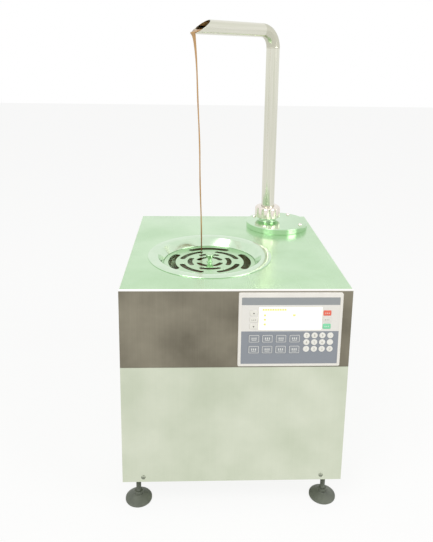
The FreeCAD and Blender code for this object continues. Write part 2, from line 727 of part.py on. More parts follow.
def transfer_pipe():
    """Sloping pipe from the tank to the cylinder, trimmed to both walls, with a collar at each end."""
    start, end = transfer_ends()
    rod = straight_rod(start, end, TRANSFER_R)
    run = (end - start).normalize()
    length = (end - start).Length
    collars = [straight_rod(start + run * at, start + run * (at + TRANSFER_STUB), TRANSFER_COLLAR_R)
               for at in (COLLAR_FROM_TANK, length - COLLAR_FROM_CYL - TRANSFER_STUB)]
    pipe = joined([rod] + collars)
    pipe = pipe.cut(straight_rod(start - run, end + run, TRANSFER_R - TRANSFER_WALL))
    pipe = pipe.cut(turned(tank_inside() + [(0, TOP + RIM_H)], TANK_X, TANK_Y))
    return pipe.cut(upright(CYL_X, CYL_Y, cylinder_floor(), cylinder_top(), CYL_BORE_R))


# Flange disc, union nut and spout pipe

def bolt_places():
    """Where the flange disc's bolts stand."""
    return [(CYL_X + DISC_BOLT_PCR * math.cos(a), CYL_Y + DISC_BOLT_PCR * math.sin(a))
            for a in (math.radians(angle) for angle in DISC_BOLT_ANGLES)]


def ferrule_top():
    """Sealing face of the ferrule, where the spout pipe's liner stands."""
    return TOP + DISC_H + FERRULE_NECK_H + FERRULE_H


def flange_disc():
    """Cover of the tempering cylinder, with the threaded ferrule that the spout stands on."""
    z1 = TOP + DISC_H
    disc = turned([(0, TOP), (DISC_R, TOP), (DISC_R, z1 - 1.5), (DISC_R - 1.5, z1), (0, z1)], CYL_X, CYL_Y)
    spigot = upright(CYL_X, CYL_Y, TOP - SHEET, TOP + 1, DISC_SPIGOT_R)
    neck_z = z1 + FERRULE_NECK_H
    ferrule = turned([(0, z1 - 1), (FERRULE_NECK_R + 2, z1 - 1), (FERRULE_NECK_R + 2, z1 + 1.5),
                      (FERRULE_NECK_R, z1 + 3), (FERRULE_NECK_R, neck_z), (FERRULE_R, neck_z),
                      (FERRULE_R, ferrule_top() - 1), (FERRULE_R - 1, ferrule_top()), (0, ferrule_top())],
                     PIPE_X, PIPE_Y)
    whole = joined([disc, spigot, ferrule])
    whole = whole.cut(upright(PIPE_X, PIPE_Y, TOP - SHEET - 1, ferrule_top() + 1, PIPE_R - PIPE_WALL - 1.0))
    for x, y in bolt_places():
        whole = whole.cut(upright(x, y, TOP - SHEET - 1, z1 + 1, DISC_BOLT_R + RUNNING))
    return whole


def flange_screws():
    """Button-head bolts through the flange disc into the cylinder's flange."""
    z1 = TOP + DISC_H
    bolts = []
    for x, y in bolt_places():
        head = turned([(0, z1), (DISC_BOLT_HEAD_R, z1), (DISC_BOLT_HEAD_R - 1.8, z1 + DISC_BOLT_HEAD_H),
                       (0, z1 + DISC_BOLT_HEAD_H)], x, y)
        shank = upright(x, y, cylinder_top() - CYL_FLANGE_T, z1 + 0.2, DISC_BOLT_R)
        bolts.append(joined([head, shank]))
    return Part.makeCompound(bolts)


def union_nut():
    """Fluted nut that clamps the spout pipe's liner on the ferrule."""
    z0 = TOP + DISC_H + FERRULE_NECK_H
    z1 = z0 + NUT_H
    lid = z1 - NUT_LID
    play = RUNNING
    nut = turned([(FERRULE_R + play, z0), (NUT_R - 1.5, z0), (NUT_R, z0 + 1.5), (NUT_R, z1 - 4),
                  (NUT_R - 5, z1), (PIPE_R + SLIDING, z1), (PIPE_R + SLIDING, lid), (FERRULE_R + play, lid)],
                 PIPE_X, PIPE_Y)
    centre = NUT_R + NUT_FLUTE_R - NUT_FLUTE_DEPTH
    flute = upright(PIPE_X + centre, PIPE_Y, z0 - 1, z1 + 1, NUT_FLUTE_R)
    return nut.cut(Part.makeCompound(around(flute, NUT_FLUTES, PIPE_X, PIPE_Y)))


def spout_pipe():
    """Riser, elbow and arm in one bent tube with a slanted mouth, and the liner it is clamped by."""
    heading = math.radians(ARM_HEADING)
    ahead = FreeCAD.Vector(math.cos(heading), math.sin(heading), 0)
    foot = FreeCAD.Vector(PIPE_X, PIPE_Y, ferrule_top())
    corner = FreeCAD.Vector(PIPE_X, PIPE_Y, TOP + ARM_RISE)
    far = corner + ahead * (ARM_LIP_LEN + 40)
    path = (foot, corner, far)
    pipe = bent_rod(path, ELBOW_R, PIPE_R)
    liner_top = TOP + DISC_H + FERRULE_NECK_H + NUT_H - NUT_LID
    liner = turned([(0, foot.z), (LINER_R, foot.z), (LINER_R, liner_top - 1), (LINER_R - 1, liner_top),
                    (0, liner_top)], PIPE_X, PIPE_Y)
    pipe = joined([pipe, liner]).cut(bent_rod(path, ELBOW_R, PIPE_R - PIPE_WALL))
    return pipe.cut(mouth_cutter(corner, ahead))


def mouth_cutter(corner, ahead):
    """Wedge beyond the slanted plane from the mouth's upper end down to its lip."""
    up = FreeCAD.Vector(0, 0, 1)
    across = ahead.cross(up)
    upper = corner + ahead * ARM_TOP_LEN + up * PIPE_R
    lip = corner + ahead * ARM_LIP_LEN - up * PIPE_R
    slope = (lip - upper).normalize()
    start = upper - slope * 2 * PIPE_R
    end = lip + slope * 4 * PIPE_R
    side = across * 4 * PIPE_R
    beyond = ahead * ARM_LIP_LEN
    face = Part.Face(Part.makePolygon([start - side, start + side, end + side, end - side, start - side]))
    return face.extrude(beyond)


# Operator panel

def hmi_top():
    """Height of the bezel's top edge."""
    return TOP - HMI_DROP


def hmi_z():
    """Height of the operator panel's middle."""
    return hmi_top() - HMI_H / 2


def hmi_cutout():
    """Width and height of the hole in the upper front panel."""
    return HMI_W - 2 * HMI_CUTOUT_INSET, HMI_H - 2 * HMI_CUTOUT_INSET


def overlay_front():
    """Y of the overlay's outer face."""
    return FRONT - HMI_PROUD + OVERLAY_SUNK


def overlay_area():
    """Middle height, width and height of the overlay."""
    width = HMI_W - 2 * HMI_EDGE
    height = HMI_H - HMI_EDGE - HMI_EDGE_TOP
    middle = hmi_z() + (HMI_EDGE - HMI_EDGE_TOP) / 2
    return middle, width, height


def window():
    """Middle, width and height of the display's window."""
    return (HMI_X + (WINDOW_X0 + WINDOW_X1) / 2, hmi_top() - (WINDOW_Z0 + WINDOW_Z1) / 2,
            WINDOW_X1 - WINDOW_X0, WINDOW_Z0 - WINDOW_Z1)


def key_places():
    """Name, outline kind, middle X and Z, width and height of every key."""
    keys = []
    for row, drop in enumerate(ROUND_KEY_DROP):
        for column, x in enumerate(ROUND_KEY_X):
            name = ROUND_KEY_NAMES[row][column]
            keys.append((name, "round", HMI_X + x, hmi_top() - drop, 2 * ROUND_KEY_R, 2 * ROUND_KEY_R))
    for row, drop in enumerate(OBLONG_KEY_DROP):
        for column, x in enumerate(OBLONG_KEY_X):
            name = "function_key_%d" % (row * len(OBLONG_KEY_X) + column + 1)
            keys.append((name, "oblong", HMI_X + x, hmi_top() - drop, OBLONG_KEY_W, OBLONG_KEY_H))
    for x, names in SIDE_KEYS:
        for name, drop in zip(names, SIDE_KEY_DROP):
            keys.append((name + "_key", "oblong", HMI_X + x, hmi_top() - drop, SIDE_KEY_W, SIDE_KEY_H))
    return keys


def key_groups():
    """The keys in blocks that share one pocket: round, oblong, left column and right column."""
    keys = key_places()
    rounds = [k for k in keys if k[1] == "round"]
    oblongs = [k for k in keys if k[4] == OBLONG_KEY_W]
    sides = [k for k in keys if k[4] == SIDE_KEY_W]
    return [rounds, oblongs, [k for k in sides if k[2] < HMI_X], [k for k in sides if k[2] > HMI_X]]


def key_block(kind, x, z, width, height, grow, y0, y1):
    """The outline of a key, grown on every side, between two Y values."""
    if kind == "round":
        return level(x, z, y0, y1, width / 2 + grow)
    return panel(x, z, width + 2 * grow, height + 2 * grow, y0, y1, KEY_ROUND + grow)


def key(kind, x, z, width, height):
    """Key cap that shows through the overlay, with a lip behind it that holds the key in."""
    back = overlay_front() + OVERLAY_T
    cap = key_block(kind, x, z, width, height, 0, overlay_front() - KEY_PROUD, back + KEY_LIP_T)
    half_w, half_h = width / 2 + KEY_LIP, height / 2 + KEY_LIP
    lip = box(x - half_w, x + half_w, back, back + KEY_LIP_T, z - half_h, z + half_h)
    return joined([cap, lip])


def hmi_overlay():
    """Front sheet of the operator panel, with the display's window and a hole for each key."""
    middle, width, height = overlay_area()
    y0 = overlay_front()
    y1 = y0 + OVERLAY_T
    sheet = panel(HMI_X, middle, width, height, y0, y1, 1.0)
    x, z, w, h = window()
    holes = [panel(x, z, w, h, y0 - 1, y1 + 1, 1.0)]
    for _, kind, x, z, w, h in key_places():
        holes.append(key_block(kind, x, z, w, h, KEY_PLAY, y0 - 1, y1 + 1))
    return sheet.cut(Part.makeCompound(holes))


def lcd_module():
    """Display: a glass that fills the window, on a wider body behind the overlay."""
    x, z, w, h = window()
    back = overlay_front() + OVERLAY_T + lcd_set_back()
    glass = panel(x, z, w - 2 * KEY_PLAY, h - 2 * KEY_PLAY, overlay_front() + 0.2, back + 1, 1.0)
    body = box(x - w / 2 - LCD_MARGIN, x + w / 2 + LCD_MARGIN, back, back + LCD_T,
               z - h / 2 - LCD_MARGIN, z + h / 2 + LCD_MARGIN)
    return joined([glass, body])


def lcd_set_back():
    """How far the display's body stands behind the overlay, clear of the keys' pockets."""
    return KEY_LIP_T + KEY_TRAVEL + 1.0


def hmi_case():
    """Moulded case: bezel in front of the panel, box behind it, pockets for the overlay, keys and display."""
    bezel = panel(HMI_X, hmi_z(), HMI_W, HMI_H, FRONT - HMI_PROUD, FRONT, HMI_ROUND)
    rim = [e for e in bezel.Edges if e.BoundBox.YMax < FRONT - HMI_PROUD + 0.01]
    bezel = bezel.makeChamfer(1.0, rim)
    width, height = hmi_cutout()
    behind = panel(HMI_X, hmi_z(), width - 2 * SLIDING, height - 2 * SLIDING, FRONT, FRONT + HMI_BEHIND,
                   HMI_ROUND)
    case = joined([bezel, behind])
    middle, width, height = overlay_area()
    back = overlay_front() + OVERLAY_T
    case = case.cut(panel(HMI_X, middle, width, height, FRONT - HMI_PROUD - 1, back, 1.0))
    pocket_back = back + KEY_LIP_T + KEY_TRAVEL + 0.1
    for keys in key_groups():
        x0 = min(x - w / 2 for _, _, x, _, w, _ in keys) - KEY_LIP - KEY_PLAY
        x1 = max(x + w / 2 for _, _, x, _, w, _ in keys) + KEY_LIP + KEY_PLAY
        z0 = min(z - h / 2 for _, _, _, z, _, h in keys) - KEY_LIP - KEY_PLAY
        z1 = max(z + h / 2 for _, _, _, z, _, h in keys) + KEY_LIP + KEY_PLAY
        case = case.cut(box(x0, x1, back - 0.5, pocket_back, z0, z1))
    x, z, w, h = window()
    glass_pocket = panel(x, z, w, h, back - 0.5, back + lcd_set_back() + 1, 1.0)
    body_pocket = box(x - w / 2 - LCD_MARGIN, x + w / 2 + LCD_MARGIN, back + lcd_set_back(),
                      back + lcd_set_back() + LCD_T, z - h / 2 - LCD_MARGIN, z + h / 2 + LCD_MARGIN)
    return case.cut(glass_pocket).cut(body_pocket)


# Cooling circuit

def compressor():
    """Hermetic compressor: domed can on four feet, with its two line stubs."""
    floor = BASE + SHEET
    z0 = floor + COMP_FEET_H
    z1 = z0 + COMP_H
    dome = COMP_DOME
    can = turned([(0, z0), (COMP_R - 14, z0), (COMP_R, z0 + 18), (COMP_R, z1 - dome),
                  (COMP_R - 14, z1 - 0.3 * dome), (COMP_R - 40, z1), (0, z1)], COMP_X, COMP_Y)
    half = COMP_FOOT_SPAN / 2
    plate = box(COMP_X - half - 10, COMP_X + half + 10, COMP_Y - half - 10, COMP_Y + half + 10, z0, z0 + 3)
    feet = [upright(COMP_X + sx * half, COMP_Y + sy * half, floor, z0 + 1, 9.0)
            for sx in (-1, 1) for sy in (-1, 1)]
    hot = Part.makeCylinder(PORT_R, STUB_REACH, FreeCAD.Vector(COMP_X - STUB_REACH, STUB_OUT_Y, STUB_OUT_Z),
                            FreeCAD.Vector(1, 0, 0))
    cold = level(CYL_X, STUB_IN_Z, COMP_Y, COMP_Y + STUB_REACH, PORT_R)
    return joined([can, plate, hot, cold] + feet)


def condenser_ys():
    """Front and back of the condenser's coil block."""
    back = BACK - SHEET - COND_GAP
    return back - COND_T, back


def fan_axis():
    """X and Z of the condenser fan."""
    return (COND_X0 + COND_X1) / 2, COND_Z0 + COND_H / 2


def condenser():
    """Finned coil block with fan shroud, three-arm motor bracket and fan motor, on two feet."""
    y0, y1 = condenser_ys()
    z1 = COND_Z0 + COND_H
    x, z = fan_axis()
    block = box(COND_X0, COND_X1, y0, y1, COND_Z0, z1)
    shroud = box(COND_X0, COND_X1, y0 - SHROUD_T, y0, COND_Z0, z1)
    hollow = level(x, z, y0 - SHROUD_T - 1, y0 - 2.0, SHROUD_R)
    feet = [box(fx - 10, fx + 10, y0, y1, BASE + SHEET, COND_Z0) for fx in (COND_X0 + 20, COND_X1 - 20)]
    motor_y = fan_ys()[0] - 3
    motor = level(x, z, motor_y - FAN_MOTOR_L, motor_y, FAN_MOTOR_R)
    arms = []
    for side in (-1, 1):
        arms.append(box(min(x, x + side * (SHROUD_R + 5)), max(x, x + side * (SHROUD_R + 5)),
                        motor_y - 8, motor_y - 5, z - 8, z + 8))
        end = x + side * (SHROUD_R + 5)
        arms.append(box(min(end, end - side * 3), max(end, end - side * 3), motor_y - 8, y0 - SHROUD_T,
                        z - 8, z + 8))
    bearing = FAN_SHAFT_R + RUNNING
    whole = joined([block, shroud.cut(hollow), motor] + arms + feet)
    fins = []
    for i in range(5):
        fin_z = COND_Z0 + COND_H * (i + 1) / 6
        fins.append(box(COND_X0 + 8, COND_X1 - 8, y0 + 8, y1 + 1, fin_z - 8, fin_z + 8))
    whole = whole.cut(Part.makeCompound(fins))
    return whole.cut(level(x, z, motor_y - FAN_MOTOR_L / 2, motor_y + 1, bearing))


def fan_ys():
    """Front and back of the condenser fan's hub."""
    back = condenser_ys()[0] - 5
    return back - FAN_HUB_L, back


def condenser_fan():
    """Hub with pitched blades and the shaft into its motor."""
    x, z = fan_axis()
    y0, y1 = fan_ys()
    hub = level(x, z, y0, y1, FAN_HUB_R)
    shaft = level(x, z, y0 - 3 - FAN_MOTOR_L / 2 + 2, y0 + 1, FAN_SHAFT_R)
    blade = box(x + FAN_HUB_R - 3, x + FAN_R, (y0 + y1 - FAN_BLADE_T) / 2, (y0 + y1 + FAN_BLADE_T) / 2,
                z - 15, z + 15)
    blade = blade.makeFillet(12.0, [e for e in edges_along(blade, FreeCAD.Vector(0, 1, 0))
                                    if e.CenterOfMass.x > x + FAN_R - 1])
    blade.rotate(FreeCAD.Vector(x, (y0 + y1) / 2, z), FreeCAD.Vector(1, 0, 0), 22)
    blades = []
    for i in range(FAN_BLADES):
        copy = blade.copy()
        copy.rotate(FreeCAD.Vector(x, 0, z), FreeCAD.Vector(0, 1, 0), 360.0 * i / FAN_BLADES)
        blades.append(copy)
    return joined([hub, shaft] + blades)


def refrigerant_lines():
    """Copper lines: compressor to condenser, condenser to jacket, jacket to compressor."""
    y0, y1 = condenser_ys()
    coil_y = (y0 + y1) / 2
    jacket_z0, jacket_z1 = jacket_ends()
    reach = CYL_BORE_R + CYL_WALL + JACKET_T + PORT_LEN
    hot_x = COND_X1 + HOT_LINE_GAP
    hot = [(COMP_X - STUB_REACH, STUB_OUT_Y, STUB_OUT_Z), (hot_x, STUB_OUT_Y, STUB_OUT_Z),
           (hot_x, coil_y, STUB_OUT_Z), (COND_X1, coil_y, STUB_OUT_Z)]
    liquid_z = COND_Z0 + 22
    liquid = [(COND_X1, coil_y, liquid_z), (liquid_port_x(), coil_y, liquid_z),
              (liquid_port_x(), CYL_Y, liquid_z), (liquid_port_x(), CYL_Y, jacket_z0 - PORT_LEN)]
    suction_y = CYL_Y - reach - 50
    suction = [(CYL_X, CYL_Y - reach, jacket_z1 - 20), (CYL_X, suction_y, jacket_z1 - 20),
               (CYL_X, suction_y, STUB_IN_Z), (CYL_X, COMP_Y + STUB_REACH, STUB_IN_Z)]
    return Part.makeCompound([bent_rod(path, LINE_BEND, LINE_R) for path in (hot, liquid, suction)])


# Electrics

def power_inlet():
    """Three-pin appliance inlet in the rear panel, with its socket open to the back."""
    flange = panel(INLET_X, INLET_Z, INLET_FLANGE_W, INLET_FLANGE_H, BACK, BACK + INLET_FLANGE_T, 3.0)
    body = panel(INLET_X, INLET_Z, INLET_W, INLET_H, BACK - INLET_DEPTH, BACK, 1.0)
    whole = joined([flange, body])
    whole = whole.cut(panel(INLET_X, INLET_Z, INLET_W - 3, INLET_H - 3, BACK - INLET_DEPTH + 4,
                            BACK + INLET_FLANGE_T + 1, 2.0))
    pins = []
    for i in (-1, 0, 1):
        x = INLET_X + i * INLET_PIN_PITCH
        z = INLET_Z + (2.0 if i == 0 else -2.0)
        pins.append(box(x - INLET_PIN_T / 2, x + INLET_PIN_T / 2, BACK - INLET_DEPTH + 3, BACK - 4,
                        z - INLET_PIN_W / 2, z + INLET_PIN_W / 2))
    return joined([whole] + pins)


def control_board():
    """Circuit board on four standoffs, with its transformer, relays and terminal strip."""
    wall = LEFT + SHEET
    x0 = wall + BOARD_STANDOFF
    x1 = x0 + BOARD_T
    y0, y1 = BOARD_Y - BOARD_L / 2, BOARD_Y + BOARD_L / 2
    z0, z1 = BOARD_Z - BOARD_H / 2, BOARD_Z + BOARD_H / 2
    pieces = [box(x0, x1, y0, y1, z0, z1)]
    for y in (y0 + 6, y1 - 6):
        for z in (z0 + 6, z1 - 6):
            pieces.append(Part.makeCylinder(STANDOFF_R, BOARD_STANDOFF + 0.5, FreeCAD.Vector(wall, y, z),
                                            FreeCAD.Vector(1, 0, 0)))
    pieces.append(box(x1 - 0.5, x1 + 28, y0 + 14, y0 + 54, z0 + 50, z0 + 88))
    for i in range(4):
        y = y0 + 64 + i * 16
        pieces.append(box(x1 - 0.5, x1 + 16, y, y + 12, z0 + 56, z0 + 84))
    pieces.append(box(x1 - 0.5, x1 + 12, y0 + 14, y1 - 14, z0 + 8, z0 + 20))
    return joined(pieces)


def save(name, shape):
    """Write one sub-part."""
    shape.exportStep(os.path.join("parts", name + ".step"))


save("base_tray", base_tray())
save("left_side_panel", side_panel(-1))
save("right_side_panel", side_panel(1))
save("rear_panel", rear_panel())
save("lower_front_panel", lower_front_panel())
save("upper_front_panel", upper_front_panel())
save("top_cover", top_cover())
save("casing_screws", casing_screws())
for foot_name, (foot_x, foot_y) in FOOT_PLACES.items():
    save(foot_name, levelling_foot(foot_x, foot_y))
save("tank", tank())
save("strainer", strainer())
save("tank_heater", tank_heater())
save("stirrer", stirrer())
save("stirrer_gearmotor", gearmotor(TANK_X, TANK_Y, stirrer_gearbox_top(), STIR_GEARBOX, STIR_GEARBOX_H,
                                    STIR_MOTOR_R, STIR_MOTOR_L, STIR_SHAFT_R))
save("tempering_cylinder", tempering_cylinder())
save("tempering_screw", tempering_screw())
save("screw_gearmotor", gearmotor(CYL_X, CYL_Y, cylinder_floor(), CYL_GEARBOX, CYL_GEARBOX_H,
                                  CYL_MOTOR_R, CYL_MOTOR_L, SCREW_END_R))
save("transfer_pipe", transfer_pipe())
save("flange_disc", flange_disc())
save("flange_screws", flange_screws())
save("union_nut", union_nut())
save("spout_pipe", spout_pipe())
save("hmi_case", hmi_case())
save("hmi_overlay", hmi_overlay())
save("lcd_module", lcd_module())
for key_name, key_kind, key_x, key_z, key_w, key_h in key_places():
    save(key_name, key(key_kind, key_x, key_z, key_w, key_h))
save("compressor", compressor())
save("condenser", condenser())
save("condenser_fan", condenser_fan())
save("refrigerant_lines", refrigerant_lines())
save("power_inlet", power_inlet())
save("control_board", control_board())
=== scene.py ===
"""Table-top chocolate tempering machine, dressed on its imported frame.

Lengths are in metres: X to the right, Y to the back, Z up, with the origin under the middle of the cabinet.
The pieces follow each other as the machine is put together, from the casing to the stream of chocolate.
"""
import json
import math

import bmesh
import bpy
import numpy as np
from mathutils import Euler, Matrix, Vector

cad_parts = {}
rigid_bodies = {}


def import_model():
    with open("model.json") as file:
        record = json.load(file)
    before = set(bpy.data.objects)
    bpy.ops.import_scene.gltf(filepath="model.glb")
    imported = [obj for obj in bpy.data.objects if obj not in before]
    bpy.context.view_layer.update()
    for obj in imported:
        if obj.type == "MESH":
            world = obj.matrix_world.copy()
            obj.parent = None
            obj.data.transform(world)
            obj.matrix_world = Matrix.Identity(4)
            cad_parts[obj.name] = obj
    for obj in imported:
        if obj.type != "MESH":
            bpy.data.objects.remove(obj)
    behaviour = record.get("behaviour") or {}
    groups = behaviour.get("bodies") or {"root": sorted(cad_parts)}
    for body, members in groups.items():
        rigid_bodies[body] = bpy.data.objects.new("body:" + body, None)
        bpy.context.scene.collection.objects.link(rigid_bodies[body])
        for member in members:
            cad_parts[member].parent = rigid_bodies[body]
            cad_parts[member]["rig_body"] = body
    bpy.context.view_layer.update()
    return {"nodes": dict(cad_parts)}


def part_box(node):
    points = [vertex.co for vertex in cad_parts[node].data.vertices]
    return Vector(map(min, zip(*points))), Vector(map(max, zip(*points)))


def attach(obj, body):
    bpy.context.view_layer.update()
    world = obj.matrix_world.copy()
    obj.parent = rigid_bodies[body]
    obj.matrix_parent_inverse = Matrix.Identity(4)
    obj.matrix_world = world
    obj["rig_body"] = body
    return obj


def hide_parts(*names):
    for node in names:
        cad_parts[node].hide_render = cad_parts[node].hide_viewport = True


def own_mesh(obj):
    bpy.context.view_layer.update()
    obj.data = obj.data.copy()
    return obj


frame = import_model()
nodes = frame["nodes"]

# ---------------------------------------------------------------------------------------------------------
# Camera: a standing person's view of a machine on a bench, from in front and a little to the left.
# The sensor's long side is the upright one, and the view is shifted down to take in the feet.

camera = bpy.data.objects.new("camera", bpy.data.cameras.new("camera"))
camera.data.lens = 37.29
camera.data.shift_y = -0.1773
camera.location = (-0.0769, -1.1923, 0.8808)
camera.rotation_euler = Euler(np.radians((77.98196, -0.79472, -2.04839)))
bpy.context.scene.collection.objects.link(camera)
bpy.context.scene.camera = camera
bpy.context.scene.view_settings.view_transform = "Standard"

# ---------------------------------------------------------------------------------------------------------
# Studio: a pale floor and a white surround, with a broad lamp over the left shoulder and a fill at the right.
# Rays that look at the surround, straight or by reflection, find plain white; the rest get a softer light.

SURROUND_LIGHT = 0.62
FLOOR_GLOW = 0.86       # the floor's white share; the rest is paper, which takes the shadow
FLOOR_HALF = 9


def linear(code):
    """The linear colour of an sRGB hex code: c / 12.92 near black, else ((c + 0.055) / 1.055) ** 2.4."""
    c = np.array([int(code[i:i + 2], 16) / 255 for i in (1, 3, 5)])
    c = np.where(c <= 0.04045, c / 12.92, ((c + 0.055) / 1.055) ** 2.4)
    return (*c.tolist(), 1.0)


def add(tree, kind, inputs=(), **settings):
    """A node of that kind with its settings.

    Inputs pairs each input's name or number with a value or a socket.
    """
    node = tree.nodes.new(kind)
    for name, value in settings.items():
        setattr(node, name, value)
    for name, value in dict(inputs).items():
        if isinstance(value, bpy.types.NodeSocket):
            tree.links.new(value, node.inputs[name])
        else:
            node.inputs[name].default_value = value
    return node


def seen_directly(tree):
    """1 for a ray that looks at a surface straight or by reflection, else 0: the largest of three flags."""
    path = add(tree, "ShaderNodeLightPath").outputs
    share = path["Is Camera Ray"]
    for ray in ("Is Glossy Ray", "Is Transmission Ray"):
        share = add(tree, "ShaderNodeMath", {0: share, 1: path[ray]}, operation="MAXIMUM").outputs[0]
    return share


world = bpy.data.worlds.new("pale_surround")
bpy.context.scene.world = world
world.use_nodes = True
tree = world.node_tree
tree.nodes.clear()
soft = add(tree, "ShaderNodeBackground", {"Color": linear("#f6f6f2"), "Strength": SURROUND_LIGHT})
white = add(tree, "ShaderNodeBackground", {"Color": (1, 1, 1, 1), "Strength": 1.0})
seen = add(tree, "ShaderNodeMixShader", {0: seen_directly(tree), 1: soft.outputs[0], 2: white.outputs[0]})
add(tree, "ShaderNodeOutputWorld", {"Surface": seen.outputs[0]})

floor_paper = bpy.data.materials.new("white_paper_floor")
floor_paper.use_nodes = True
tree = floor_paper.node_tree
tree.nodes.clear()
paper = add(tree, "ShaderNodeBsdfDiffuse", {"Color": linear("#f7f7f5")})
glow = add(tree, "ShaderNodeEmission", {"Color": (1, 1, 1, 1), "Strength": 1.0})
share = add(tree, "ShaderNodeMath", {0: seen_directly(tree), 1: FLOOR_GLOW}, operation="MULTIPLY")
mixed = add(tree, "ShaderNodeMixShader", {0: share.outputs[0], 1: paper.outputs[0], 2: glow.outputs[0]})
add(tree, "ShaderNodeOutputMaterial", {"Surface": mixed.outputs[0]})

floor_mesh = bpy.data.meshes.new("floor")
floor_corners = [(x * FLOOR_HALF, y * FLOOR_HALF, 0) for x, y in ((-1, -1), (1, -1), (1, 1), (-1, 1))]
floor_mesh.from_pydata(floor_corners, [], [(0, 1, 2, 3)])
floor_mesh.materials.append(floor_paper)
floor = bpy.data.objects.new("floor", floor_mesh)
bpy.context.scene.collection.objects.link(floor)

for name, place, aim, width, power in (("key_lamp", (-1.5, -1.9, 2.7), (0, 0, 0.4), 1.7, 38.0),
                                       ("fill_lamp", (2.1, -1.3, 1.8), (0, 0, 0.4), 1.5, 22.0)):
    lamp = bpy.data.objects.new(name, bpy.data.lights.new(name, "AREA"))
    lamp.data.size = width
    lamp.data.energy = power
    lamp.location = place
    lamp.rotation_euler = (Vector(aim) - Vector(place)).to_track_quat("-Z", "Y").to_euler()
    bpy.context.scene.collection.objects.link(lamp)

# ---------------------------------------------------------------------------------------------------------
# Casing: floor tray, side sheets, rear sheet and lower front sheet, of 1.5 mm stainless steel 304.
# Laser cut and folded, with the satin of a fine abrasive belt run up and down; the folds have a small radius.

FOLD_RADIUS = 0.0007
SHARP_ANGLE = math.radians(32)
BELT_GRAIN = 0.0024     # real lines are 0.1 mm apart, drawn coarser so that they show
BELT_STROKE = 0.16
# Both satin tones carry a slight green cast: a painted reflection of the green room, over the steel's own
# grey.
SATIN_LIGHT = "#e0e5d2"
SATIN_DEEP = "#ccd4bd"


def new_finish(name, **sockets):
    """A material, its node tree and its shader, with the shader's own sockets set."""
    material = bpy.data.materials.new(name)
    material.use_nodes = True
    tree = material.node_tree
    tree.nodes.clear()
    shader = add(tree, "ShaderNodeBsdfPrincipled", {n.replace("_", " "): v for n, v in sockets.items()})
    add(tree, "ShaderNodeOutputMaterial", {"Surface": shader.outputs[0]})
    return material, tree, shader


def belt_satin(name, deep, light, stroke, roughness, lines_share=0.12):
    """Belt-ground stainless sheet: tone drifts over a hand's width, and fine lines run along the stroke.

    Colour = deep + (light - deep) * ((1 - share) * drift + share * lines).  The roughness follows the lines.
    """
    material, tree, shader = new_finish(name, Metallic=1.0)
    place = add(tree, "ShaderNodeTexCoord").outputs["Object"]
    scale = [1 / BELT_STROKE if axis == stroke else 1 / BELT_GRAIN for axis in "XYZ"]
    stretched = add(tree, "ShaderNodeMapping", {"Vector": place, "Scale": scale})
    lines = add(tree, "ShaderNodeTexNoise", {"Vector": stretched.outputs[0], "Scale": 1.0, "Detail": 4.0})
    drift = add(tree, "ShaderNodeTexNoise", {"Vector": place, "Scale": 9.0, "Detail": 4.0})
    drift_share = add(tree, "ShaderNodeMapRange", {0: drift.outputs[0], 1: 0.3, 2: 0.7, 3: 0.0,
                                                   4: 1 - lines_share})
    lines_tone = add(tree, "ShaderNodeMapRange", {0: lines.outputs[0], 1: 0.3, 2: 0.7, 3: 0.0,
                                                  4: lines_share})
    share = add(tree, "ShaderNodeMath", {0: drift_share.outputs[0], 1: lines_tone.outputs[0]})
    tone = add(tree, "ShaderNodeMix", {0: share.outputs[0], 6: linear(deep), 7: linear(light)},
               data_type="RGBA")
    gloss = add(tree, "ShaderNodeMapRange", {0: lines.outputs[0], 1: 0.2, 2: 0.8, 3: roughness - 0.04,
                                             4: roughness + 0.05})
    relief = add(tree, "ShaderNodeBump", {"Height": lines.outputs[0], "Strength": 0.05, "Distance": 0.0003})
    tree.links.new(tone.outputs[2], shader.inputs["Base Color"])
    tree.links.new(gloss.outputs[0], shader.inputs["Roughness"])
    tree.links.new(relief.outputs[0], shader.inputs["Normal"])
    return material


def soft_edged(node, radius, segments, *materials):
    """A copy of a CAD node, its loose triangles merged, with every edge past SHARP_ANGLE rounded."""
    mesh = nodes[node].data.copy()
    mesh.name = node + "_sheet"
    work = bmesh.new()
    work.from_mesh(mesh)
    bmesh.ops.remove_doubles(work, verts=work.verts, dist=1e-6)
    bmesh.ops.dissolve_limit(work, angle_limit=0.002, verts=work.verts, edges=work.edges)
    work.to_mesh(mesh)
    work.free()
    return rounded_piece(node + "_sheet", mesh, radius, segments, materials, node)


def rounded_piece(name, mesh, radius, segments, materials, *replaced):
    """An object of a mesh with a bevel on its sharp edges, in place of CAD nodes, riding on their body."""
    piece = bpy.data.objects.new(name, mesh)
    bpy.context.scene.collection.objects.link(piece)
    if "custom_normal" in mesh.attributes:
        mesh.attributes.remove(mesh.attributes["custom_normal"])
    mesh.shade_smooth()
    mesh.set_sharp_from_angle(angle=SHARP_ANGLE)
    mesh.materials.clear()
    for material in materials:
        mesh.materials.append(material)
    bevel = piece.modifiers.new("edge", "BEVEL")
    bevel.width = radius
    bevel.segments = segments
    bevel.angle_limit = SHARP_ANGLE
    bevel.harden_normals = True
    if replaced:
        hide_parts(*replaced)
        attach(piece, nodes[replaced[0]]["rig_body"])
    return piece


casing_satin = belt_satin("belt_ground_stainless", SATIN_DEEP, SATIN_LIGHT, "Z", 0.34)
for node in ("base_tray", "left_side_panel", "right_side_panel", "rear_panel", "lower_front_panel"):
    soft_edged(node, FOLD_RADIUS, 2, casing_satin)

# Upper front panel: the band round the operator panel, darker and browner than the rest of the casing.
# The same sheet as the casing, ground up and down, with its tone drifting from place to place.

band_steel = belt_satin("dark_band_stainless", "#6f6a5c", "#9b9584", "Z", 0.36)
soft_edged("upper_front_panel", FOLD_RADIUS, 2, band_steel)

# ---------------------------------------------------------------------------------------------------------
# Top cover: a shallow lid of the same sheet, polished brighter, with a generous fold round its edge.
# Pressed down over the casing; the tank hangs in its hole.

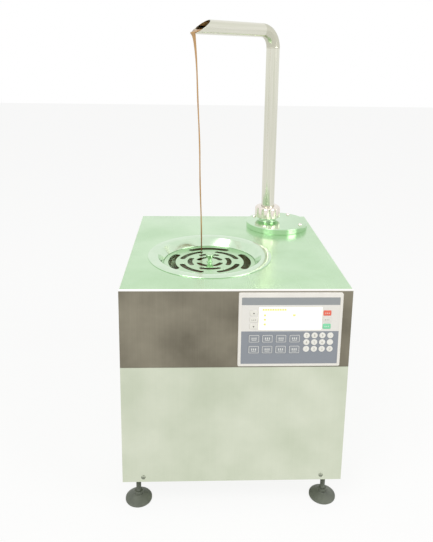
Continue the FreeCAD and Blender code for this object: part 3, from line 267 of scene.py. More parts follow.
lid_low, lid_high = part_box("top_cover")
tank_low, tank_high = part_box("tank")
TANK_X, TANK_Y = (tank_low.x + tank_high.x) / 2, (tank_low.y + tank_high.y) / 2
TOP = lid_high.z
LID_HOLE_R = 0.114
LID_FOLD_R = 0.0034
LID_SHEET = 0.0014
LID_RING_R = 0.138       # a ring of corners just outside the tank's rim


def grid_piece(name, points):
    """A surface through rows of points; every row closes on itself, and rows that meet are welded."""
    rows, columns = points.shape[:2]
    index = np.arange(rows * columns).reshape(rows, columns)
    beside = np.roll(index, -1, axis=1)
    quads = np.stack([index[:-1], beside[:-1], beside[1:], index[1:]], axis=-1).reshape(-1, 4)
    mesh = bpy.data.meshes.new(name)
    mesh.from_pydata(points.reshape(-1, 3).tolist(), [], quads.tolist())
    work = bmesh.new()
    work.from_mesh(mesh)
    bmesh.ops.remove_doubles(work, verts=work.verts, dist=1e-6)
    bmesh.ops.recalc_face_normals(work, faces=work.faces)
    work.to_mesh(mesh)
    work.free()
    return mesh


lid_columns = 240
lid_turn = np.sort(np.concatenate([
    np.linspace(-np.pi, np.pi, lid_columns, endpoint=False),
    [math.atan2(y - TANK_Y, x - TANK_X) for x in (lid_low.x, lid_high.x) for y in (lid_low.y, lid_high.y)]]))
lid_ray = np.stack([np.cos(lid_turn), np.sin(lid_turn)], -1)
lid_ends = np.where(lid_ray > 0, [lid_high.x - TANK_X, lid_high.y - TANK_Y],
                    [lid_low.x - TANK_X, lid_low.y - TANK_Y])
lid_reach = np.min(np.abs(lid_ends) / np.maximum(np.abs(lid_ray), 1e-9), axis=1)
lid_edge = lid_ray * lid_reach[:, None] + [TANK_X, TANK_Y]


def lid_row(inset, height):
    """The lid's outline moved inwards by the inset, at a height: coordinates clipped to the smaller box."""
    low = [lid_low.x + inset, lid_low.y + inset]
    high = [lid_high.x - inset, lid_high.y - inset]
    return np.column_stack([np.clip(lid_edge, low, high), np.full(len(lid_edge), height)])


def lid_ring(radius, height):
    """A ring round the tank's middle, seen at the same angles as the outline."""
    return np.column_stack([lid_ray * radius + [TANK_X, TANK_Y], np.full(len(lid_ray), height)])


fold = np.linspace(0, np.pi / 2, 7)
upper = [lid_ring(LID_HOLE_R, TOP), lid_ring(LID_RING_R, TOP)]
upper += [lid_row(LID_FOLD_R * (1 - math.sin(a)), TOP - LID_FOLD_R * (1 - math.cos(a))) for a in fold]
upper += [lid_row(0, lid_low.z)]
under = [lid_row(LID_SHEET, lid_low.z), lid_row(LID_SHEET + LID_FOLD_R, TOP - LID_SHEET),
         lid_ring(LID_RING_R, TOP - LID_SHEET), lid_ring(LID_HOLE_R, TOP - LID_SHEET)]
# The lid's green tones are a painted reflection of the green wall and ceiling behind the machine, not the
# steel's own colour.
lid_steel = belt_satin("bright_belt_ground_lid", "#b9dab1", "#cde8c6", "Y", 0.24)
# The fold and the lip get a near-white tone: a painted highlight along the lid's folded edge.
fold_painted_highlight = belt_satin("folded_edge_painted_highlight", "#f4f2ec", "#fdfcf8", "X", 0.3)
lid_mesh = grid_piece("top_cover_lid", np.array(upper + under + upper[:1]))
lid = rounded_piece("top_cover_lid", lid_mesh, 0.0002, 1, [lid_steel, fold_painted_highlight], "top_cover")
# Faces of the fold and the lip take the painted highlight tone; the flat top keeps the lid's satin.
for face in lid_mesh.polygons:
    face.material_index = int(face.center.z < TOP - LID_FOLD_R * 0.2 and abs(face.normal.z) < 0.9)

# Casing screws: round-head M4 screws of plain steel, at the foot of the front and rear sheets.

screw_steel, tree, shader = new_finish("dull_screw_steel", Metallic=1.0, Roughness=0.42)
place = add(tree, "ShaderNodeTexCoord").outputs["Object"]
spots = add(tree, "ShaderNodeTexNoise", {"Vector": place, "Scale": 900.0, "Detail": 2.0})
tone = add(tree, "ShaderNodeMix", {0: spots.outputs[0], 6: linear("#6f7566"), 7: linear("#a3a898")},
           data_type="RGBA")
tree.links.new(tone.outputs[2], shader.inputs["Base Color"])
soft_edged("casing_screws", 0.0006, 2, screw_steel)

# ---------------------------------------------------------------------------------------------------------
# Levelling feet: a low cone of dark grey nylon moulded over the foot of an M10 screw with a wrench nut.
# The screw and nut are bright zinc-plated steel; the thread runs up into the cabinet's floor.

PAD_R = 0.0265
PAD_EDGE_H = 0.0035
PAD_H = 0.013
THREAD_R = 0.005
THREAD_PITCH = 0.0015
THREAD_DEPTH = 0.0009
NUT_FLAT = 0.016
FOOT_NUT_H = 0.006

foot_nylon, tree, shader = new_finish("moulded_grey_nylon", Roughness=0.5, IOR=1.53)
place = add(tree, "ShaderNodeTexCoord").outputs["Object"]
grain = add(tree, "ShaderNodeTexNoise", {"Vector": place, "Scale": 600.0, "Detail": 3.0})
dust = add(tree, "ShaderNodeTexNoise", {"Vector": place, "Scale": 70.0, "Detail": 4.0})
tone = add(tree, "ShaderNodeMix", {0: dust.outputs[0], 6: linear("#4e534a"), 7: linear("#787d70")},
           data_type="RGBA")
relief = add(tree, "ShaderNodeBump", {"Height": grain.outputs[0], "Strength": 0.2, "Distance": 0.0002})
tree.links.new(tone.outputs[2], shader.inputs["Base Color"])
tree.links.new(relief.outputs[0], shader.inputs["Normal"])

plated_steel, tree, shader = new_finish("zinc_plated_steel", Metallic=1.0, Roughness=0.3)
place = add(tree, "ShaderNodeTexCoord").outputs["Object"]
spots = add(tree, "ShaderNodeTexNoise", {"Vector": place, "Scale": 300.0, "Detail": 3.0})
tone = add(tree, "ShaderNodeMix", {0: spots.outputs[0], 6: linear("#a79c86"), 7: linear("#ded8c8")},
           data_type="RGBA")
tree.links.new(tone.outputs[2], shader.inputs["Base Color"])


def turned_piece(name, outline, x, y, columns=96):
    """A mesh turned about an upright: x + r cos a, y + r sin a, z for every (r, z) of the outline."""
    r, z = np.array(outline).T
    a = np.linspace(0, 2 * np.pi, columns, endpoint=False)
    points = np.stack([x + np.outer(r, np.cos(a)), y + np.outer(r, np.sin(a)),
                       np.outer(z, np.ones(columns))], axis=-1)
    return grid_piece(name, points)


def threaded_rod(name, x, y, z0, z1):
    """A screw: radius = r - depth * |2 * frac(z / pitch - a / 2 pi) - 1|, closed at both ends."""
    z = np.linspace(z0, z1, int((z1 - z0) / THREAD_PITCH * 6))
    a = np.linspace(0, 2 * np.pi, 20, endpoint=False)
    wave = np.abs(2 * ((z[:, None] / THREAD_PITCH - a / (2 * np.pi)) % 1) - 1)
    r = THREAD_R - THREAD_DEPTH * wave
    points = np.stack([x + r * np.cos(a), y + r * np.sin(a), np.repeat(z[:, None], len(a), axis=1)], axis=-1)
    ends = [np.tile([x, y, z0], (1, len(a), 1)), points, np.tile([x, y, z1], (1, len(a), 1))]
    return grid_piece(name, np.concatenate(ends))


def joined_mesh(name, meshes):
    """Several meshes as one, with every mesh's own material number kept in its faces."""
    work = bmesh.new()
    for number, mesh in enumerate(meshes):
        start = len(work.faces)
        work.from_mesh(mesh)
        work.faces.ensure_lookup_table()
        for face in work.faces[start:]:
            face.material_index = number
        bpy.data.meshes.remove(mesh)
    mesh = bpy.data.meshes.new(name)
    work.to_mesh(mesh)
    work.free()
    return mesh


for node in [n for n in nodes if n.startswith("levelling_foot")]:
    low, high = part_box(node)
    x, y = (low.x + high.x) / 2, (low.y + high.y) / 2
    pad = turned_piece("pad", [(0, 0), (PAD_R - 0.001, 0), (PAD_R, 0.001), (PAD_R, PAD_EDGE_H),
                               (PAD_R - 0.002, PAD_EDGE_H + 0.0012), (0.0095, PAD_H - 0.001), (0.009, PAD_H),
                               (0, PAD_H)], x, y)
    rod = threaded_rod("rod", x, y, PAD_H, high.z)
    hexagon = np.radians(np.arange(6) * 60)
    corners = np.stack([np.cos(hexagon), np.sin(hexagon)], -1) * NUT_FLAT / math.sqrt(3)
    rows = [(0, PAD_H), (0.9, PAD_H), (1, PAD_H + 0.0008), (1, PAD_H + FOOT_NUT_H - 0.0008),
            (0.9, PAD_H + FOOT_NUT_H), (0, PAD_H + FOOT_NUT_H)]
    nut_rows = [np.column_stack([corners * k + [x, y], np.full(6, z)]) for k, z in rows]
    nut = grid_piece("nut", np.array(nut_rows))
    mesh = joined_mesh(node + "_dressed", [pad, rod, nut])
    foot = rounded_piece(node + "_dressed", mesh, 0.0004, 2, [foot_nylon, plated_steel, plated_steel], node)

# ---------------------------------------------------------------------------------------------------------
# Tank: spun from 2 mm stainless sheet and polished to a mirror inside, with a flat rim that lies on the lid.
# The rim runs into a sloping basin, a ledge for the strainer, a straight wall and a cone floor.

RIM_R = 0.131
BASIN_R = 0.110
SEAT_R = 0.098
WALL_R = 0.091
WALL_T = 0.002
SEAT_Z = TOP - 0.017
FLOOR_Z = TOP - 0.198
SHAFT_HOLE_R = 0.0061

mirror_steel, tree, shader = new_finish("mirror_polished_stainless", Metallic=1.0)
place = add(tree, "ShaderNodeTexCoord").outputs["Object"]
smear = add(tree, "ShaderNodeTexNoise", {"Vector": place, "Scale": 38.0, "Detail": 5.0, "Roughness": 0.6})
# Both tones are green, a painted reflection of the green room in the mirror steel; the smear noise between
# them stands for polishing smears.
tone = add(tree, "ShaderNodeMix", {0: smear.outputs[0], 6: linear("#c4dfbf"), 7: linear("#dff0da")},
           data_type="RGBA")
gloss = add(tree, "ShaderNodeMapRange", {0: smear.outputs[0], 1: 0.3, 2: 0.7, 3: 0.08, 4: 0.22})
tree.links.new(tone.outputs[2], shader.inputs["Base Color"])
tree.links.new(gloss.outputs[0], shader.inputs["Roughness"])

inside = [(SHAFT_HOLE_R, FLOOR_Z), (0.030, FLOOR_Z), (WALL_R - 0.012, TOP - 0.179), (WALL_R, TOP - 0.170),
          (WALL_R, SEAT_Z), (SEAT_R, SEAT_Z), (SEAT_R, SEAT_Z + 0.003), (BASIN_R, TOP + 0.0008),
          (BASIN_R + 0.003, TOP + 0.0016)]
edge = [(RIM_R - 0.0022, TOP + 0.002), (RIM_R - 0.0005, TOP + 0.0016), (RIM_R, TOP + 0.0008), (RIM_R, TOP)]
outside = [(BASIN_R + WALL_T, TOP - 0.0002), (SEAT_R + WALL_T, SEAT_Z + 0.002),
           (SEAT_R + WALL_T, SEAT_Z - WALL_T), (WALL_R + WALL_T, SEAT_Z - WALL_T),
           (WALL_R + WALL_T, TOP - 0.172),
           (WALL_R - 0.010, TOP - 0.181), (0.032, FLOOR_Z - WALL_T), (0.032, FLOOR_Z - 0.016),
           (0.027, FLOOR_Z - 0.016), (0.027, FLOOR_Z - WALL_T), (0.013, FLOOR_Z - WALL_T),
           (0.013, FLOOR_Z - 0.016), (SHAFT_HOLE_R, FLOOR_Z - 0.016)]
tank_mesh = turned_piece("tank_bowl", inside + edge + outside + inside[:1], TANK_X, TANK_Y, 144)
tank = rounded_piece("tank_bowl", tank_mesh, 0.0016, 3, [mirror_steel], "tank")

# Strainer: a lift-out disc of 2 mm stainless with four rings of slots, laser cut, and a turned knob.
# It drops on the tank's ledge and keeps lumps and tools away from the stirrer.

# The strainer's green tones are a painted reflection of the green room, not the steel's own colour.
strainer_steel = belt_satin("strainer_stainless", "#b4d5ab", "#cbe6c4", "Y", 0.2)
strainer = soft_edged("strainer", 0.0005, 3, strainer_steel)

# ---------------------------------------------------------------------------------------------------------
# Flange disc: a thick turned plate that closes the tempering cylinder, with a welded ferrule for the spout.
# Both are 304 bar, turned and polished; four button-head bolts hold the plate.

disc_low, disc_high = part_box("flange_disc")
DISC_X, DISC_Y = (disc_low.x + disc_high.x) / 2, (disc_low.y + disc_high.y) / 2
DISC_R = 0.0755
DISC_TOP = TOP + 0.014
nut_low, nut_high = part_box("union_nut")
PIPE_X, PIPE_Y = (nut_low.x + nut_high.x) / 2, (nut_low.y + nut_high.y) / 2
FERRULE_TOP = disc_high.z
FERRULE_R = 0.026
FERRULE_BORE_R = 0.0134

# The disc's green tones are a painted reflection of the green room, not the steel's own colour.
disc_steel = belt_satin("turned_disc_stainless", "#bcdab6", "#cfe9ca", "Y", 0.16)
bright_steel, tree, shader = new_finish("polished_bar_stainless", Metallic=1.0)
place = add(tree, "ShaderNodeTexCoord").outputs["Object"]
rings = add(tree, "ShaderNodeMapping", {"Vector": place, "Scale": (90, 90, 700)})
marks = add(tree, "ShaderNodeTexNoise", {"Vector": rings.outputs[0], "Scale": 1.0, "Detail": 3.0})
tone = add(tree, "ShaderNodeMix", {0: marks.outputs[0], 6: linear("#ded3c6"), 7: linear("#f8f3ec")},
           data_type="RGBA")
gloss = add(tree, "ShaderNodeMapRange", {0: marks.outputs[0], 1: 0.3, 2: 0.7, 3: 0.1, 4: 0.24})
tree.links.new(tone.outputs[2], shader.inputs["Base Color"])
tree.links.new(gloss.outputs[0], shader.inputs["Roughness"])

plate_outline = [(0, TOP), (DISC_R - 0.0006, TOP), (DISC_R, TOP + 0.0006), (DISC_R, DISC_TOP - 0.0015),
                 (DISC_R - 0.0015, DISC_TOP), (0, DISC_TOP)]
plate = turned_piece("plate", plate_outline, DISC_X, DISC_Y, 128)
ferrule_outline = [(FERRULE_BORE_R, DISC_TOP - 0.004), (0.0255, DISC_TOP - 0.004), (0.0245, DISC_TOP + 0.001),
                   (0.0225, DISC_TOP + 0.0028), (0.022, DISC_TOP + 0.008), (FERRULE_R, DISC_TOP + 0.008),
                   (FERRULE_R, FERRULE_TOP), (FERRULE_BORE_R, FERRULE_TOP),
                   (FERRULE_BORE_R, DISC_TOP - 0.004)]
ferrule = turned_piece("ferrule", ferrule_outline, PIPE_X, PIPE_Y)
disc_mesh = joined_mesh("flange_disc_turned", [plate, ferrule])
disc = rounded_piece("flange_disc_turned", disc_mesh, 0.0005, 2, [disc_steel, bright_steel], "flange_disc")
soft_edged("flange_screws", 0.0006, 3, bright_steel)

# Union nut: a fluted nut of polished bar that draws the spout's liner down on the ferrule.
# Twelve flutes are milled up its side for the grip of a hook spanner.

NUT_R = 0.031
NUT_FLUTES = 12
FLUTE_R = 0.0042
FLUTE_DEPTH = 0.0022
NUT_BORE_R = 0.0262
NUT_HOLE_R = 0.0163     # the hole in its top that the pipe passes through

turn = np.linspace(0, 2 * np.pi, NUT_FLUTES * 16, endpoint=False)
off_flute = (turn + np.pi / NUT_FLUTES) % (2 * np.pi / NUT_FLUTES) - np.pi / NUT_FLUTES
flute_centre = NUT_R + FLUTE_R - FLUTE_DEPTH
across = FLUTE_R ** 2 - (flute_centre * np.sin(off_flute)) ** 2
# the flute is a circle about a point outside the nut: r = c cos a - sqrt(f * f - c * c sin a * sin a)
fluted = np.where(across > 0, flute_centre * np.cos(off_flute) - np.sqrt(np.maximum(across, 0)), NUT_R)
fluted = np.minimum(fluted, NUT_R)
nut_rows = [(NUT_BORE_R, nut_low.z), (NUT_R - 0.0018, nut_low.z), (NUT_R, nut_low.z + 0.0018),
            (NUT_R, nut_high.z - 0.005), (NUT_R - 0.0012, nut_high.z - 0.0026),
            (NUT_R - 0.004, nut_high.z - 0.0004), (NUT_R - 0.006, nut_high.z), (NUT_HOLE_R, nut_high.z),
            (NUT_HOLE_R, nut_high.z - 0.005), (NUT_BORE_R, nut_high.z - 0.005), (NUT_BORE_R, nut_low.z)]
nut_points = np.array([np.stack([PIPE_X + np.minimum(fluted, r) * np.cos(turn),
                                 PIPE_Y + np.minimum(fluted, r) * np.sin(turn),
                                 np.full(len(turn), z)], axis=-1) for r, z in nut_rows])
union = rounded_piece("union_nut_fluted", grid_piece("union_nut_fluted", nut_points), 0.0003, 2,
                      [bright_steel], "union_nut")

# ---------------------------------------------------------------------------------------------------------
# Spout pipe: 32 mm dairy tube with a 1.6 mm wall, a bought elbow welded between riser and arm.
# The tube is polished; the elbow is a little duller, with a thin proud weld at each end and a slanted mouth.

PIPE_R = 0.016
PIPE_BORE_R = 0.0144
ELBOW_R = 0.039
ARM_Z = TOP + 0.474
HEADING = math.radians(220)
MOUTH_TOP = 0.200
MOUTH_LIP = 0.248
LINER_R = 0.0245
LINER_H = 0.006
WELD_H = 0.00016
WELD_CLEARANCE = 0.00002     # how far the weld's crest stays inside the tube's nominal size
WELD_W = 0.0016
ELBOW_DULLNESS = 0.55

ahead = np.array([math.cos(HEADING), math.sin(HEADING), 0])
sideways = np.array([-ahead[1], ahead[0], 0])
upward = np.array([0, 0, 1.0])
riser_foot = np.array([PIPE_X, PIPE_Y, FERRULE_TOP])
corner = np.array([PIPE_X, PIPE_Y, ARM_Z])
riser_length = ARM_Z - ELBOW_R - FERRULE_TOP
elbow_length = ELBOW_R * math.pi / 2


def tube_wall(radius, columns=72):
    """A tube of one radius along the riser, the elbow and the arm, cut off by the mouth's slanted plane.

    Riser: foot + s * up.  Elbow: centre + R * (up * sin t - ahead * cos t).  Arm: corner + ahead * l.
    The cut stands at l = (top + lip) / 2 - (lip - top) / 2 * (height / outer radius).
    """
    a = np.linspace(0, 2 * np.pi, columns, endpoint=False)
    near_welds = np.array([-0.004, -0.002, -0.0012, -0.0006, 0, 0.0006, 0.0012, 0.002, 0.004])
    s_riser = np.unique(np.concatenate([np.linspace(0, riser_length, 60), [LINER_H, LINER_H + 1e-5],
                                        riser_length + near_welds[:5]]))
    t = np.unique(np.concatenate([np.linspace(0, np.pi / 2, 40), near_welds[5:] / ELBOW_R,
                                  np.pi / 2 + near_welds[:4] / ELBOW_R]))[1:]
    share = np.unique(np.concatenate([np.linspace(0, 1, 40), near_welds[5:] / (MOUTH_TOP - ELBOW_R)]))[1:]
    centres = np.concatenate([
        riser_foot + s_riser[:, None] * upward,
        corner + ahead * ELBOW_R - upward * ELBOW_R + ELBOW_R * (np.sin(t)[:, None] * upward
                                                                - np.cos(t)[:, None] * ahead)])
    out = np.concatenate([np.tile(-ahead, (len(s_riser), 1)),
                          np.sin(t)[:, None] * upward - np.cos(t)[:, None] * ahead])
    length = np.concatenate([s_riser, riser_length + ELBOW_R * t])
    weld = sum(np.exp(-((length - at) / WELD_W) ** 2) for at in (riser_length, riser_length + elbow_length))
    r = radius + (WELD_H * weld if radius > PIPE_BORE_R else 0 * weld)
    if radius > PIPE_BORE_R:
        r = np.where(length <= LINER_H, LINER_R, r)
    wide = r[:, None, None]
    bent = centres[:, None] + wide * (np.cos(a)[:, None] * out[:, None] + np.sin(a)[:, None] * sideways)
    cut = (MOUTH_TOP + MOUTH_LIP) / 2 - (MOUTH_LIP - MOUTH_TOP) / 2 * radius * np.cos(a) / PIPE_R
    l = ELBOW_R + share[:, None] * (cut - ELBOW_R)
    arm_weld = np.exp(-((l - ELBOW_R) / WELD_W) ** 2) * (WELD_H if radius > PIPE_BORE_R else 0)
    ring = np.cos(a)[:, None] * upward + np.sin(a)[:, None] * sideways
    arm = corner + l[..., None] * ahead + (radius + arm_weld)[..., None] * ring
    along = np.concatenate([np.repeat(length[:, None], columns, axis=1),
                            riser_length + elbow_length + l - ELBOW_R])
    unbent = np.stack([np.broadcast_to(radius * np.cos(a), along.shape),
                       np.broadcast_to(radius * np.sin(a), along.shape), along], axis=-1)
    return np.concatenate([bent, arm]), unbent


outer_wall, outer_unbent = tube_wall(PIPE_R - WELD_H - WELD_CLEARANCE)
inner_wall, inner_unbent = tube_wall(PIPE_BORE_R)
pipe_points = np.concatenate([outer_wall, inner_wall[::-1], outer_wall[:1]])
pipe_unbent = np.concatenate([outer_unbent, inner_unbent[::-1], outer_unbent[:1]])
rows, columns = pipe_points.shape[:2]
index = np.arange(rows * columns).reshape(rows, columns)
beside = np.roll(index, -1, axis=1)
pipe_mesh = bpy.data.meshes.new("spout_pipe_tube")
pipe_quads = np.stack([index[:-1], beside[:-1], beside[1:], index[1:]], axis=-1).reshape(-1, 4)
pipe_mesh.from_pydata(pipe_points.reshape(-1, 3).tolist(), [], pipe_quads.tolist())
pipe_mesh.attributes.new("unbent", "FLOAT_VECTOR", "POINT").data.foreach_set("vector", pipe_unbent.ravel())
work = bmesh.new()
work.from_mesh(pipe_mesh)
bmesh.ops.remove_doubles(work, verts=work.verts, dist=1e-7)
bmesh.ops.recalc_face_normals(work, faces=work.faces)
work.to_mesh(pipe_mesh)
work.free()

tube_steel, tree, shader = new_finish("polished_dairy_tube", Metallic=1.0)
unbent = add(tree, "ShaderNodeAttribute", attribute_name="unbent").outputs["Vector"]
# Bands of light and dark tone round the tube, running along it: painted reflection streaks of the polished
# tube.
painted_reflection_streaks_at = add(tree, "ShaderNodeMapping", {"Vector": unbent, "Scale": (260, 260, 5)})
painted_reflection_streaks = add(tree, "ShaderNodeTexNoise", {"Vector": painted_reflection_streaks_at.outputs[0], "Scale": 1.0, "Detail": 3.0})
length = add(tree, "ShaderNodeSeparateXYZ", {0: unbent}).outputs[2]
bow = add(tree, "ShaderNodeMapRange", {0: length, 1: riser_length - 0.003, 2: riser_length + 0.001,
                                       3: 0, 4: 1})
past = add(tree, "ShaderNodeMapRange", {0: length, 1: riser_length + elbow_length - 0.001,
                                        2: riser_length + elbow_length + 0.003, 3: 1, 4: 0})
elbow = add(tree, "ShaderNodeMath", {0: bow.outputs[0], 1: past.outputs[0]}, operation="MULTIPLY")
tone = add(tree, "ShaderNodeMix", {0: painted_reflection_streaks.outputs[0], 6: linear("#cbcdb9"), 7: linear("#ece9df")},
           data_type="RGBA")
dull = add(tree, "ShaderNodeMath", {0: elbow.outputs[0], 1: ELBOW_DULLNESS}, operation="MULTIPLY")
worn = add(tree, "ShaderNodeMix", {0: dull.outputs[0], 6: tone.outputs[2], 7: linear("#b9b8a4")},
           data_type="RGBA")
gloss = add(tree, "ShaderNodeMapRange", {0: elbow.outputs[0], 1: 0, 2: 1, 3: 0.13, 4: 0.27})
tree.links.new(worn.outputs[2], shader.inputs["Base Color"])
tree.links.new(gloss.outputs[0], shader.inputs["Roughness"])

pipe = rounded_piece("spout_pipe_tube", pipe_mesh, 0.0003, 2, [tube_steel], "spout_pipe")

# ---------------------------------------------------------------------------------------------------------
# Chocolate: melted milk chocolate, the machine's load, as a tongue in the mouth, a falling thread and a pool.
# It is glossy and nearly opaque; the thread thins as it falls and drops through a slot into the tank.

POOL_Z = TOP - 0.048
POOL_DEPTH = 0.004
TONGUE_START = 0.120
TONGUE_HALF = math.radians(68)
THREAD_SHIFT = 0.029
THREAD_DROP = 0.473

chocolate, tree, shader = new_finish("melted_milk_chocolate", Roughness=0.22, IOR=1.46, Coat_Weight=0.3,
                                     Coat_Roughness=0.1, Subsurface_Weight=0.08,
                                     Subsurface_Radius=(0.004, 0.002, 0.001), Subsurface_Scale=0.5)
place = add(tree, "ShaderNodeTexCoord").outputs["Object"]
swirl = add(tree, "ShaderNodeTexNoise", {"Vector": place, "Scale": 45.0, "Detail": 3.0})
height = add(tree, "ShaderNodeSeparateXYZ", {0: place}).outputs[2]
# Painted light and shade: the chocolate is painted pale high up, on the tongue and the thread, for the light
# on it, and dark down in the tank's pool, for the shade there.
painted_light_by_height = add(tree, "ShaderNodeMapRange", {0: height, 1: TOP - 0.03, 2: TOP + 0.05, 3: 0, 4: 1})
dark_tone = add(tree, "ShaderNodeMix", {0: swirl.outputs[0], 6: linear("#5a3d2b"), 7: linear("#7d5b42")},
                data_type="RGBA")
painted_light_tone = add(tree, "ShaderNodeMix", {0: swirl.outputs[0], 6: linear("#b3854f"), 7: linear("#cda878")},
                data_type="RGBA")
tone = add(tree, "ShaderNodeMix", {0: painted_light_by_height.outputs[0], 6: dark_tone.outputs[2], 7: painted_light_tone.outputs[2]},
           data_type="RGBA")
tree.links.new(tone.outputs[2], shader.inputs["Base Color"])


def chocolate_piece(name, points, body):
    """A smooth closed body of chocolate that rides on a CAD body."""
    mesh = grid_piece(name, points)
    mesh.shade_smooth()
    mesh.materials.append(chocolate)
    piece = bpy.data.objects.new(name, mesh)
    bpy.context.scene.collection.objects.link(piece)
    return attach(piece, body)


# the tongue lies in the bottom of the bore: a circle's segment, from inside the arm to just past the lip
a = np.linspace(-TONGUE_HALF, TONGUE_HALF, 24)
film = PIPE_BORE_R - 0.0002
segment_side = np.concatenate([film * np.sin(a), film * np.sin(a[::-1]) * 0.98])
segment_height = np.concatenate([-film * np.cos(a), np.full(24, -film * math.cos(TONGUE_HALF))
                                 - 0.0012 * (1 - (a[::-1] / TONGUE_HALF) ** 2)])
cut = (MOUTH_TOP + MOUTH_LIP) / 2 - (MOUTH_LIP - MOUTH_TOP) / 2 * segment_height / PIPE_R
share = np.linspace(0, 1, 30)[:, None]
l = TONGUE_START + share * (cut + 0.0012 - TONGUE_START)
tongue = (corner + l[..., None] * ahead + segment_side[None, :, None] * sideways
          + segment_height[None, :, None] * upward)
ends = [np.broadcast_to(tongue[i].mean(axis=0), tongue[i].shape)[None] for i in (0, -1)]
chocolate_piece("chocolate_tongue", np.concatenate([ends[0], tongue, ends[1]]), "spout_pipe")

# the thread: centre = lip + shift * sqrt(drop / total) back under the arm, half width and thickness by drop
lip = corner + ahead * (MOUTH_LIP - 0.0015) - upward * (PIPE_R - 0.001)
drop = np.concatenate([[-0.004, -0.0035], np.linspace(-0.003, 0.05, 40),
                       np.linspace(0.053, lip[2] - POOL_Z, 120)])
fallen = np.maximum(drop, 0)
wobble = 0.0007 * np.sin(fallen * 34) * np.minimum(fallen / 0.1, 1)
half_wide = (0.0016 + 0.0030 * np.exp(-fallen / 0.035) + 0.0028 * np.exp(-fallen / 0.006)
             + 0.0003 * np.sin(fallen * 61))
half_thick = 0.0015 + 0.0011 * np.exp(-fallen / 0.02)
near_pool = np.exp(-(drop[-1] - drop) / 0.002)
half_wide = (half_wide + 0.004 * near_pool) * np.where(drop < -0.0036, 0.0, 1.0)
half_thick = (half_thick + 0.004 * near_pool) * np.where(drop < -0.0036, 0.0, 1.0)
centre = (lip - drop[:, None] * upward - ahead * (THREAD_SHIFT * np.sqrt(fallen / THREAD_DROP))[:, None]
          + sideways * wobble[:, None])
a = np.linspace(0, 2 * np.pi, 16, endpoint=False)
thread = (centre[:, None] + (half_wide[:, None] * np.cos(a))[..., None] * sideways
          + (half_thick[:, None] * np.sin(a))[..., None] * ahead)
thread = np.concatenate([thread, np.broadcast_to(centre[-1], thread[-1].shape)[None]])
stream = chocolate_piece("chocolate_stream", thread, "spout_pipe")
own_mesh(stream)

# the pool: rings run out from where the thread lands, height = swell * exp(-d / 20 mm) * cos(2 pi d / 9 mm)
landing = centre[-1]
r = np.concatenate([np.linspace(0, WALL_R - 0.001, 48), [WALL_R - 0.0004]])
a = np.linspace(0, 2 * np.pi, 144, endpoint=False)
x = TANK_X + np.outer(r, np.cos(a))
y = TANK_Y + np.outer(r, np.sin(a))
d = np.hypot(x - landing[0], y - landing[1])
surface = POOL_Z + 0.0008 * np.exp(-d / 0.02) * np.cos(d * 2 * np.pi / 0.009)
top_face = np.stack([x, y, surface], axis=-1)
bottom = top_face[::-1].copy()
bottom[..., 2] = POOL_Z - POOL_DEPTH
chocolate_piece("chocolate_pool", np.concatenate([top_face, bottom, top_face[:1]]), "casing")

# ---------------------------------------------------------------------------------------------------------
# Operator panel: an injection-moulded ABS bezel round a printed polyester overlay, with the keys behind it.
# The bezel is screwed from behind; the overlay is matt, with a grey strip, a pale field and a slate field.

overlay_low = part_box("hmi_overlay")[0]

bezel_abs, tree, shader = new_finish("moulded_white_abs", Roughness=0.38, IOR=1.53)
place = add(tree, "ShaderNodeTexCoord").outputs["Object"]
grain = add(tree, "ShaderNodeTexNoise", {"Vector": place, "Scale": 1400.0, "Detail": 2.0})
drift = add(tree, "ShaderNodeTexNoise", {"Vector": place, "Scale": 25.0, "Detail": 2.0})
tone = add(tree, "ShaderNodeMix", {0: drift.outputs[0], 6: linear("#e6e2dc"), 7: linear("#f2efe9")},
           data_type="RGBA")
relief = add(tree, "ShaderNodeBump", {"Height": grain.outputs[0], "Strength": 0.15, "Distance": 0.0001})
tree.links.new(tone.outputs[2], shader.inputs["Base Color"])
tree.links.new(relief.outputs[0], shader.inputs["Normal"])
soft_edged("hmi_case", 0.0008, 3, bezel_abs)

STRIP_FOOT = TOP - 0.0288
FIELD_FOOT = TOP - 0.0808
overlay_film, tree, shader = new_finish("printed_polyester_overlay", Roughness=0.45, IOR=1.57)
place = add(tree, "ShaderNodeTexCoord").outputs["Object"]
height = add(tree, "ShaderNodeSeparateXYZ", {0: place}).outputs[2]
above_field = add(tree, "ShaderNodeMath", {0: height, 1: FIELD_FOOT}, operation="GREATER_THAN").outputs[0]
above_strip = add(tree, "ShaderNodeMath", {0: height, 1: STRIP_FOOT}, operation="GREATER_THAN").outputs[0]
grain = add(tree, "ShaderNodeTexNoise", {"Vector": place, "Scale": 1100.0, "Detail": 2.0})
lower = add(tree, "ShaderNodeMix", {0: above_field, 6: linear("#8f949d"), 7: linear("#ece9e4")},
            data_type="RGBA")
zones = add(tree, "ShaderNodeMix", {0: above_strip, 6: lower.outputs[2], 7: linear("#999da0")},
            data_type="RGBA")
speck = add(tree, "ShaderNodeMapRange", {0: grain.outputs[0], 1: 0.3, 2: 0.7, 3: 0.93, 4: 1.0})
printed = add(tree, "ShaderNodeMix", {0: 1.0, 6: zones.outputs[2], 7: speck.outputs[0]},
              data_type="RGBA", blend_type="MULTIPLY")
relief = add(tree, "ShaderNodeBump", {"Height": grain.outputs[0], "Strength": 0.1, "Distance": 0.0001})
tree.links.new(printed.outputs[2], shader.inputs["Base Color"])
tree.links.new(relief.outputs[0], shader.inputs["Normal"])
nodes["hmi_overlay"].data.materials.clear()
nodes["hmi_overlay"].data.materials.append(overlay_film)

# Display: a backlit liquid-crystal module behind a flat glass, with the first lines of a page on it.
# The light comes through pale cream glass; the marks are plain bars in place of words.

